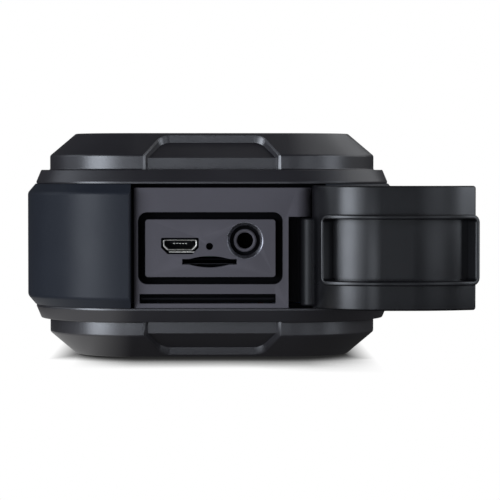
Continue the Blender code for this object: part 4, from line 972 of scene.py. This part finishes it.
def make_usb_socket():
    """The steel shell, its gasket, the tongue with its contacts, and the edge of a shield below."""
    front = -PANEL_FRONT + USB_SETBACK
    back = front + USB_DEPTH
    lip = USB_WALL / 2
    steps = [(0, back)] + arc((-lip, front + lip), lip, 0, -math.pi, 2 * FILLET_STEPS) + [(-USB_WALL, back)]
    rings = [standing_ring(usb_outline(margin, USB_ROUND + margin / 2), y) for margin, y in steps]
    add_piece("usb_shell_sheet", loft(rings, closed=True), "steel", nodes=["usb_shell"])
    near = -PANEL_FRONT + USB_GASKET_DEPTH
    gasket = channel(usb_hole(), usb_outline(LINER_GAP, USB_ROUND), near, near + GASKET_THICKNESS)
    add_piece("usb_gasket", loft(gasket, closed=True), "rubber", finish="dull_rubber")
    plug = usb_outline(-USB_WALL - CLEARANCE / 4, USB_PLUG_ROUND)
    plug_front = back - USB_PLUG_DEPTH
    tongue = add_mesh("usb_tongue_body", prism(plug, plug_front, back))
    x = USB_CENTRE[0]
    middle = USB_BLADE_FOOT + USB_BLADE_HEIGHT / 2
    blade = round_rectangle((x, middle), USB_TONGUE_WIDTH / 2, USB_BLADE_HEIGHT / 2, USB_BLADE_ROUND)
    carve(tongue, prism(blade, front + USB_WALL, back - USB_PLUG_DEPTH / 2), "UNION")
    dress(tongue, "inner_plastic", nodes=["usb_tongue"])
    contacts = bmesh.new()
    half_width, half_height = USB_CONTACT_WIDTH / 2, USB_CONTACT_HEIGHT / 2
    for index in range(USB_CONTACTS):
        place = (x + (index - (USB_CONTACTS - 1) / 2) * USB_CONTACT_PITCH, USB_BLADE_FOOT)
        strip = round_rectangle(place, half_width, half_height, half_height / 2)
        prism(strip, front + 1.5 * USB_WALL, plug_front, contacts)
    add_piece("usb_contacts", contacts, "steel")
    bar = thin_strip(USB_BAR_CENTRE, USB_BAR_WIDTH, USB_BAR_HEIGHT)
    add_piece("usb_shield_edge", prism(bar, front, near), "steel", USB_BAR_HEIGHT / 4)


def make_audio_jack():
    """The jack's body and barrel, a collar on the barrel, a trim in the panel's mouth, and a black gasket
    deep in the mouth that paints the shade there.
    """
    front = -PANEL_FRONT + JACK_SETBACK
    low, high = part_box("audio_jack")
    shoulder = Vector((low.x, -PANEL_BACK + CLEARANCE, low.z))
    body = add_mesh("audio_jack_body", box(shoulder, high))
    tip, root = front + JACK_COLLAR_DEPTH / 2, (high.y - PANEL_BACK) / 2
    carve(body, bore(JACK_CENTRE, tip, root, JACK_BARREL_RADIUS - SOFT_EDGE), "UNION")
    carve(body, bore(JACK_CENTRE, front - JACK_SETBACK, high.y - CLEARANCE, JACK_BORE_RADIUS))
    soften(body, SOFT_EDGE)
    dress(body, "inner_plastic", nodes=["audio_jack"])
    edge, rear = JACK_SETBACK + JACK_COLLAR_EDGE, JACK_SETBACK + JACK_COLLAR_DEPTH
    collar = [
        (JACK_BARREL_RADIUS, rear),
        (JACK_BARREL_RADIUS, edge),
        (JACK_BARREL_RADIUS - JACK_COLLAR_EDGE, JACK_SETBACK),
        (JACK_BORE_RADIUS + JACK_COLLAR_EDGE, JACK_SETBACK),
        (JACK_BORE_RADIUS, edge),
        (JACK_BORE_RADIUS, rear),
    ]
    add_piece("jack_collar", turned_port(collar, JACK_CENTRE, JACK_SIDES), "panel_plastic")
    outside, inside = JACK_MOUTH_RADIUS - LINER_GAP, JACK_NECK_RADIUS - LINER_GAP
    floor = JACK_TRIM_DEPTH - LINER_GAP
    lip = outside - JACK_TRIM_LIP
    corners = [
        (outside, floor, 0),
        (outside, 0, 0),
        (lip, 0, JACK_TRIM_ROUND),
        (inside, lip - inside, SOFT_EDGE),
        (inside, floor, 0),
    ]
    trim = turned_port(rounded(corners), JACK_CENTRE, JACK_SIDES)
    add_piece("jack_trim", trim, "panel_plastic", finish="polished_trim")
    # A black gasket at the floor of the mouth that paints the shade which falls deep in it
    rim, deep = inside - LINER_GAP, JACK_SHADE_GASKET_DEPTH + GASKET_THICKNESS
    hole = JACK_BARREL_RADIUS + LINER_GAP
    gasket = [(hole, deep), (hole, JACK_SHADE_GASKET_DEPTH), (rim, JACK_SHADE_GASKET_DEPTH), (rim, deep)]
    add_piece("jack_shade_gasket", turned_port(gasket, JACK_CENTRE), "rubber", finish="dull_rubber")


def make_card_socket():
    """A socket behind the card slot, near-black in place of its steel to paint the shade in the slot, and the
    rail that the card slides in on.
    """
    low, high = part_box("card_socket")
    wall = CLEARANCE
    socket = add_mesh("card_socket_body", box(low, high))
    carve(socket, box(low + Vector((wall, -wall, wall)), high - Vector((wall, wall, wall))))
    soften(socket, SOFT_EDGE / 2)
    # The near-black finish in place of the steel paints the shade inside the card slot
    dress(socket, "steel", nodes=["card_socket"], finish="inner_plastic")
    x, z = CARD_CENTRE
    rail = (x, z - CARD_SLOT_HEIGHT / 2 + CARD_RAIL_HEIGHT)
    outline = thin_strip(rail, CARD_RAIL_WIDTH, CARD_RAIL_HEIGHT)
    strip = prism(outline, -PANEL_FRONT + CARD_RAIL_DEPTH, low.y)
    add_piece("card_rail", strip, "steel", CARD_RAIL_HEIGHT / 4, finish="dark_steel")


def make_cover_anchor():
    right = BAY_RIGHT - CLEARANCE
    front, back = -PANEL_FRONT, -PANEL_BACK
    outline = fillet((ANCHOR_LEFT, back), (ANCHOR_LEFT, front), (right, front), ANCHOR_CORNER, ANCHOR_STEPS)
    outline += [(right, front), (right, back), (ANCHOR_LEFT, back)]
    foot, top = COVER_FOOT + CLEARANCE, HINGE_RECESS_TOP - CLEARANCE
    anchor = add_mesh("cover_anchor_root", slab(outline, foot, top))
    soften(anchor, ANCHOR_EDGE, 3)
    dress(anchor, "rubber", nodes=["cover_anchor"], finish="matt_rubber")


# Cover: made flat along s, the distance from the hinge, then bent along the open cover's line


def cover_bends():
    """(start, end, turn) of each stretch along the cover that bends, from the root outwards."""
    turn = math.pi / 2 / (BEND_SEGMENTS + 1)
    length = BEND_RADIUS / sum(math.sin(turn * (step + 1)) for step in range(BEND_SEGMENTS))
    half = length / 2
    bends = []
    for joint in range(BEND_SEGMENTS + 1):
        bends.append((joint * length - half, joint * length + half, turn))
    for joint in (COVER_LENGTH - 2 * TIP_LENGTH, COVER_LENGTH - TIP_LENGTH):
        bends.append((joint - TIP_LENGTH / 2, joint + TIP_LENGTH / 2, TIP_TURN))
    return bends


COVER_BENDS = cover_bends()


def cover_line(s):
    """Place and heading on the open cover's middle line, at a distance from the hinge."""
    x, y = HINGE
    count = max(1, round(abs(s) / COVER_LINE_STEP))
    stride = s / count
    for index in range(count):
        heading = cover_heading((index + 0.5) * stride)
        x += stride * math.cos(heading)
        y += stride * math.sin(heading)
    return x, y, cover_heading(s)


def cover_heading(s):
    heading = 1.5 * math.pi
    for start, end, turn in COVER_BENDS:
        heading += turn * min(1, max(0, (s - start) / (end - start)))
    return heading


def flat_cover():
    """The cover laid flat, +Y to the outside: a slab with rounded edges and the rim that stands on it."""
    centre = ((COVER_TIP + COVER_ROOT) / 2, (COVER_FOOT + COVER_TOP) / 2)
    half_length, half_width = (COVER_TIP - COVER_ROOT) / 2, (COVER_TOP - COVER_FOOT) / 2
    quarter = arc((-COVER_EDGE, COVER_HALF - COVER_EDGE), COVER_EDGE, math.pi / 2, 0, FILLET_STEPS)
    rings = []
    for inset, out in [(inset, -out) for inset, out in quarter] + quarter[::-1]:
        halves = (half_length + inset, half_width + inset)
        outline = round_rectangle(centre, *halves, COVER_CORNER + inset, GROOVE_STEPS)
        rings.append(standing_ring(outline, out))
    bm = loft(rings)
    add_sealing_rim(bm)
    return bm


def rim_ring(root, tip, margin, out):
    """An outline in the sealing groove, between two distances along the cover and grown by a margin."""
    centre = ((root + tip) / 2, GROOVE_CENTRE[1])
    half_height = GROOVE_HALF_HEIGHT - CLEARANCE + margin
    corner = GROOVE_CORNER - CLEARANCE + margin
    return standing_ring(round_rectangle(centre, (tip - root) / 2, half_height, corner, GROOVE_STEPS), out)


def add_sealing_rim(bm):
    """The rim on the cover's inside that seats in the sealing groove."""
    x = GROOVE_CENTRE[0]
    root = HINGE[0] - (x + GROOVE_HALF_WIDTH - COVER_RIM_ROOT_GAP)
    tip = HINGE[0] - (x - GROOVE_HALF_WIDTH + CLEARANCE)
    inner_root, inner_tip = root + COVER_RIM_ROOT_WALL, tip - COVER_RIM_WALL
    foot, crest = -COVER_HALF / 2, -COVER_HALF - COVER_RIM_HEIGHT
    centre = (COVER_RIM_ROUND, crest + COVER_RIM_ROUND)
    quarter = arc(centre, COVER_RIM_ROUND, math.pi, 1.5 * math.pi, FILLET_STEPS)
    rings = [rim_ring(root, tip, 0, foot)]
    for inset, out in quarter:
        rings.append(rim_ring(root + inset, tip - inset, -inset, out))
    for inset, out in reversed(quarter):
        rings.append(rim_ring(inner_root - inset, inner_tip + inset, inset - COVER_RIM_WALL, out))
    rings.append(rim_ring(inner_root, inner_tip, -COVER_RIM_WALL, foot))
    loft(rings, closed=True, bm=bm)


def make_cover():
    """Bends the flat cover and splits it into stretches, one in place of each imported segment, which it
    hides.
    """
    whole = flat_cover()
    root = min(vert.co.x for vert in whole.verts)
    tip_start, tip_end, _ = COVER_BENDS[BEND_SEGMENTS + 1]
    cuts = [root] + [end for _, end, _ in COVER_BENDS[:BEND_SEGMENTS]] + [tip_start, tip_end, COVER_TIP]
    for number, (start, end) in enumerate(zip(cuts, cuts[1:]), 1):
        bm = whole.copy()
        slice_cover(bm, start, end)
        piece = bend_piece(f"cover_skin_{number}", bm)
        piece.data.materials.append(MATERIALS["rubber"])
        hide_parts(f"cover_segment_{number}")
        ends = [(*cover_line(s)[:2], MIDDLE) for s in COVER_BENDS[number - 1][:2]]
        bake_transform(piece)
    whole.free()


def slice_cover(bm, start, end):
    """Keeps the stretch of the flat cover between two distances, with rows fine enough to bend."""
    along = Vector((1, 0, 0))
    count = max(1, math.ceil((end - start) / COVER_PITCH))
    for index in range(count + 1):
        s = start + (end - start) * index / count
        bmesh.ops.bisect_plane(
            bm,
            geom=bm.verts[:] + bm.edges[:] + bm.faces[:],
            dist=WELD,
            plane_co=along * s,
            plane_no=along,
            clear_inner=index == 0,
            clear_outer=index == count,
        )
    open_edges = [edge for edge in bm.edges if edge.is_boundary]
    bmesh.ops.holes_fill(bm, edges=open_edges, sides=0)


def bend_piece(name, bm):
    """Moves a flat stretch of cover to its bent place, and turns its smooth shading to match."""
    item = add_mesh(name, bm)
    mesh = item.data
    mesh.shade_smooth()
    mesh.set_sharp_from_angle(angle=SMOOTH_ANGLE)
    normals = [normal.vector.copy() for normal in mesh.corner_normals]
    places = [round(vert.co.x, PLACE_DIGITS) for vert in mesh.vertices]
    lines = {place: cover_line(place) for place in set(places)}
    turned_normals = []
    for loop, normal in zip(mesh.loops, normals):
        heading = lines[places[loop.vertex_index]][2]
        turned_normals.append(Matrix.Rotation(heading, 3, "Z") @ normal)
    for vert, place in zip(mesh.vertices, places):
        x, y, heading = lines[place]
        side = Vector((-math.sin(heading), math.cos(heading)))
        vert.co.x = x + side.x * vert.co.y
        vert.co.y = y + side.y * vert.co.y
    mesh.normals_split_custom_set(turned_normals)
    return item


# Grille, keys and screws


def make_grille():
    """A sheet with rounded hole edges, in a hexagonal pattern."""
    top = mirrored(CAP_BASE) - GRILLE_SINK
    curve = bpy.data.curves.new("grille_outline", "CURVE")
    curve.dimensions = "2D"
    curve.fill_mode = "BOTH"
    curve.extrude = GRILLE_THICKNESS / 2 - GRILLE_EDGE
    curve.bevel_depth = GRILLE_EDGE
    curve.bevel_resolution = 1
    curve.offset = -GRILLE_EDGE
    outlines = [arc((0, 0), GRILLE_RADIUS, 0, 2 * math.pi, GRILLE_SIDES)[:-1]]
    for row in range(-GRILLE_RINGS, GRILLE_RINGS + 1):
        count = 2 * GRILLE_RINGS + 1 - abs(row)
        y = row * GRILLE_PITCH * math.sqrt(3) / 2
        for column in range(count):
            x = (column - (count - 1) / 2) * GRILLE_PITCH
            outlines.append(arc((x, y), GRILLE_HOLE_RADIUS, 2 * math.pi, 0, HOLE_SIDES)[:-1])
    for outline in outlines:
        spline = curve.splines.new("POLY")
        spline.points.add(len(outline) - 1)
        spline.use_cyclic_u = True
        for point, (x, y) in zip(spline.points, outline):
            point.co = (x, y, 0, 1)
    pattern = add_object("grille_pattern", curve)
    mesh = settled_mesh(pattern)
    bpy.data.objects.remove(pattern)
    mesh.transform(Matrix.Translation((0, 0, top - GRILLE_THICKNESS / 2)))
    dress(add_object("grille_sheet", mesh), "dark_steel", nodes=["grille"])


def key_dome(x):
    """Rings that close a key's face in a low dome."""
    edge = key_outline(x, -KEY_EDGE)
    rings = []
    for step in range(1, KEY_DOME_STEPS + 1):
        share = step / KEY_DOME_STEPS
        scale = 1 - KEY_DOME_SHARE * share
        outline = [(x + (across - x) * scale, MIDDLE + (up - MIDDLE) * scale) for across, up in edge]
        rings.append(standing_ring(outline, KEY_FACE - KEY_DOME * (1 - share) ** 2))
    return rings


def make_keys():
    for name, x in zip(("power", "volume_down", "volume_up", "play"), KEY_PLACES):
        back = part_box(f"{name}_key")[0].y
        flange, stem = key_outline(x, KEY_FLANGE_MARGIN), key_outline(x, 0)
        front, shoulder = back + KEY_FLANGE_THICKNESS, KEY_FACE - KEY_DOME - KEY_EDGE
        rings = [standing_ring(flange, back), standing_ring(flange, front), standing_ring(stem, front)]
        for inset, out in arc((-KEY_EDGE, shoulder), KEY_EDGE, 0, math.pi / 2, FILLET_STEPS):
            rings.append(standing_ring(key_outline(x, inset), out))
        body = f"{name}_key_cap"
        add_piece(f"{body}_rubber", loft(rings + key_dome(x)), "rubber", body=body, nodes=[f"{name}_key"])
        add_piece(f"{name}_sign", key_sign(name, x), "panel_plastic", SIGN_EDGE, body=body)


def key_sign(name, x):
    """A raised sign on a key: power, minus, plus or play."""
    bm = bmesh.new()
    long, thin = SIGN_LONG, SIGN_THIN
    outlines = []
    if name in ("volume_down", "volume_up"):
        outlines.append(round_rectangle((x, MIDDLE), long, thin, thin / 2))
    if name == "volume_up":
        for side in (-1, 1):
            middle = MIDDLE + side * (long + thin) / 2
            outlines.append(round_rectangle((x, middle), thin, (long - thin) / 2, thin / 2))
    if name == "play":
        back = x - PLAY_BACK * long
        corners = [(x + PLAY_POINT * long, MIDDLE), (back, MIDDLE - long), (back, MIDDLE + long)]
        outlines.append(rounded([(*corner, thin) for corner in corners], closed=True))
    if name == "power":
        start, end = POWER_ARC
        outside = arc((x, MIDDLE), long + thin, start, end, ARC_STEPS)
        outlines.append(outside + arc((x, MIDDLE), long - thin, end, start, ARC_STEPS))
        stem = (x, MIDDLE + POWER_STEM_PLACE * long)
        outlines.append(round_rectangle(stem, thin, POWER_STEM_HALF * long, thin / 2))
    for outline in outlines:
        prism(outline, KEY_FACE - SIGN_ROOT, KEY_FACE + SIGN_HEIGHT, bm)
    return bm


def make_case_screws():
    """Pan-head screws with a cross recess, in the floor of the lower cap."""
    foot = CAP_BASE + CASE_HEAD_SINK
    shoulder = foot + CASE_HEAD_HEIGHT
    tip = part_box("case_screw_1")[1].z
    edge, shank = CASE_HEAD_EDGE, CASE_SCREW_RADIUS
    profile = [(0, tip), (shank * CASE_TIP_SHARE, tip), (shank, tip - CASE_TIP_TAPER)]
    profile += [(shank, shoulder), (CASE_HEAD_RADIUS, shoulder)]
    profile += arc((CASE_HEAD_RADIUS - edge, foot + edge), edge, 0, -math.pi / 2, FILLET_STEPS)
    profile.append((0, foot))
    for index, (x, y) in enumerate(corner_places(CASE_SCREW_PLACE), 1):
        screw = add_mesh(f"case_screw_cross_{index}", turned(profile, closed=False, steps=SMALL_SIDES))
        for half in ((CROSS_HALF_WIDTH, CROSS_HALF_LENGTH), (CROSS_HALF_LENGTH, CROSS_HALF_WIDTH)):
            low, high = (-half[0], -half[1], foot - CROSS_CUT_MARGIN), (*half, foot + CROSS_DEPTH)
            carve(screw, box(low, high))
        screw.location = (x, y, 0)
        dress(screw, "dark_steel", nodes=[f"case_screw_{index}"])


# Stage


def open_sky(tree, reach):
    """How little of the sky over a place is hidden by anything within reach."""
    return node(tree, "ShaderNodeAmbientOcclusion", "AO", {"Distance": reach}, samples=SHADOW_SAMPLES)


def make_floor():
    """A white stage with a painted soft shadow close to the object.

    The shadow darkens its glow where nearby parts hide the sky. In gloss it shows a painted reflection,
    bright at the left and dark elsewhere. On other surfaces it is an even fill from below.
    """
    bm = bmesh.new()
    bmesh.ops.create_circle(bm, cap_ends=True, radius=FLOOR_RADIUS, segments=ROUND_SIDES)
    floor = add_mesh("floor", bm)
    material = bpy.data.materials.new("floor")
    material.use_nodes = True
    tree = material.node_tree
    tree.nodes.clear()
    across = node(tree, "ShaderNodeSeparateXYZ", "X", {"Vector": own_space(tree)})
    # Painted shadow: the white glow darkens where nearby parts hide the sky, weighted across the floor and
    # gone beyond the sides
    left = spread(tree, across, *SHADOW_LEFT_X, 0.0, SHADOW_WEIGHT)
    right = spread(tree, across, *SHADOW_RIGHT_X, SHADOW_WEIGHT, 0.0)
    weight = calculate(tree, "MINIMUM", left, right)
    wide = calculate(tree, "POWER", open_sky(tree, SHADOW_REACH), weight)
    openness = calculate(tree, "MULTIPLY", wide, open_sky(tree, CONTACT_REACH))
    near, far = SHADOW_SIDE_X
    outside = [spread(tree, across, -far, -near, 1.0, 0.0), spread(tree, across, near, far, 0.0, 1.0)]
    openness = calculate(tree, "MAXIMUM", openness, calculate(tree, "MAXIMUM", *outside))
    white_with_painted_shadow = blend_colours(tree, openness, SHADOW_DARK, WHITE)
    # Painted reflection: in gloss the floor is bright at the left, as if lit from there, and dim elsewhere
    beyond = spread(tree, across, *FLOOR_LEFT_X, 1.0, 0.0)
    beside = spread(tree, across, *FLOOR_RIGHT_X, 0.0, 1.0)
    painted_reflection = blend_colours(tree, calculate(tree, "MAXIMUM", beyond, beside), FLOOR_GLOW, FLOOR_DIM)
    colour = by_ray(tree, FLOOR_LIGHT, painted_reflection, white_with_painted_shadow)
    shown = node(tree, "ShaderNodeEmission", "Emission", {"Color": colour})
    feed(tree, tree.nodes.new("ShaderNodeOutputMaterial"), {"Surface": shown})
    floor.data.materials.append(material)


def by_ray(tree, fill, gloss, shown):
    """One colour for the light on surfaces, one in gloss and glass, and one for the camera."""
    path = tree.nodes.new("ShaderNodeLightPath").outputs
    reflected = calculate(tree, "MAXIMUM", path["Is Glossy Ray"], path["Is Transmission Ray"])
    indirect = blend_colours(tree, reflected, fill, gloss)
    return blend_colours(tree, path["Is Camera Ray"], indirect, shown)


def make_world():
    """White behind the object, and a dim grey in its gloss and glass and as a fill on its surfaces."""
    world = bpy.data.worlds.new("studio")
    world.use_nodes = True
    tree = world.node_tree
    colour = by_ray(tree, WORLD_LIGHT, WORLD_GLOSS, WHITE)
    feed(tree, tree.nodes["Background"], {"Strength": 1.0, "Color": colour})
    SCENE.world = world


def add_softbox(name, azimuth, distance, height, size, power, colour):
    """A soft light that stands at an angle from the camera's side and faces the speaker."""
    data = bpy.data.lights.new(name, "AREA")
    data.shape = "RECTANGLE"
    data.size, data.size_y = size
    data.energy = power
    data.color = colour
    light = add_object(name, data)
    angle = math.radians(azimuth)
    place = Vector((math.sin(angle) * distance, -math.cos(angle) * distance, height))
    light.location = place
    light.rotation_euler = (Vector((0, 0, MIDDLE)) - place).to_track_quat("-Z", "Y").to_euler()


def make_camera():
    data = bpy.data.cameras.new("camera")
    data.lens = CAMERA_LENS
    data.clip_start = CAMERA_CLIP
    camera = add_object("camera", data)
    camera.location = CAMERA_PLACE
    camera.rotation_euler = (CAMERA_PITCH, 0, CAMERA_YAW)
    SCENE.camera = camera


SCENE.view_settings.view_transform = "Standard"
make_camera()
make_world()
for softbox in SOFTBOXES:
    add_softbox(*softbox)
make_floor()
dress_packed_nodes()
make_cap("lower_cap", unchanged, cut_lower_cap)
make_cap("upper_cap", mirrored, cut_upper_cap)
make_side_band()
make_foot_pad()
make_port_panel()
make_groove_liner()
make_usb_socket()
make_audio_jack()
make_card_socket()
make_cover_anchor()
make_cover()
make_grille()
make_keys()
make_case_screws()
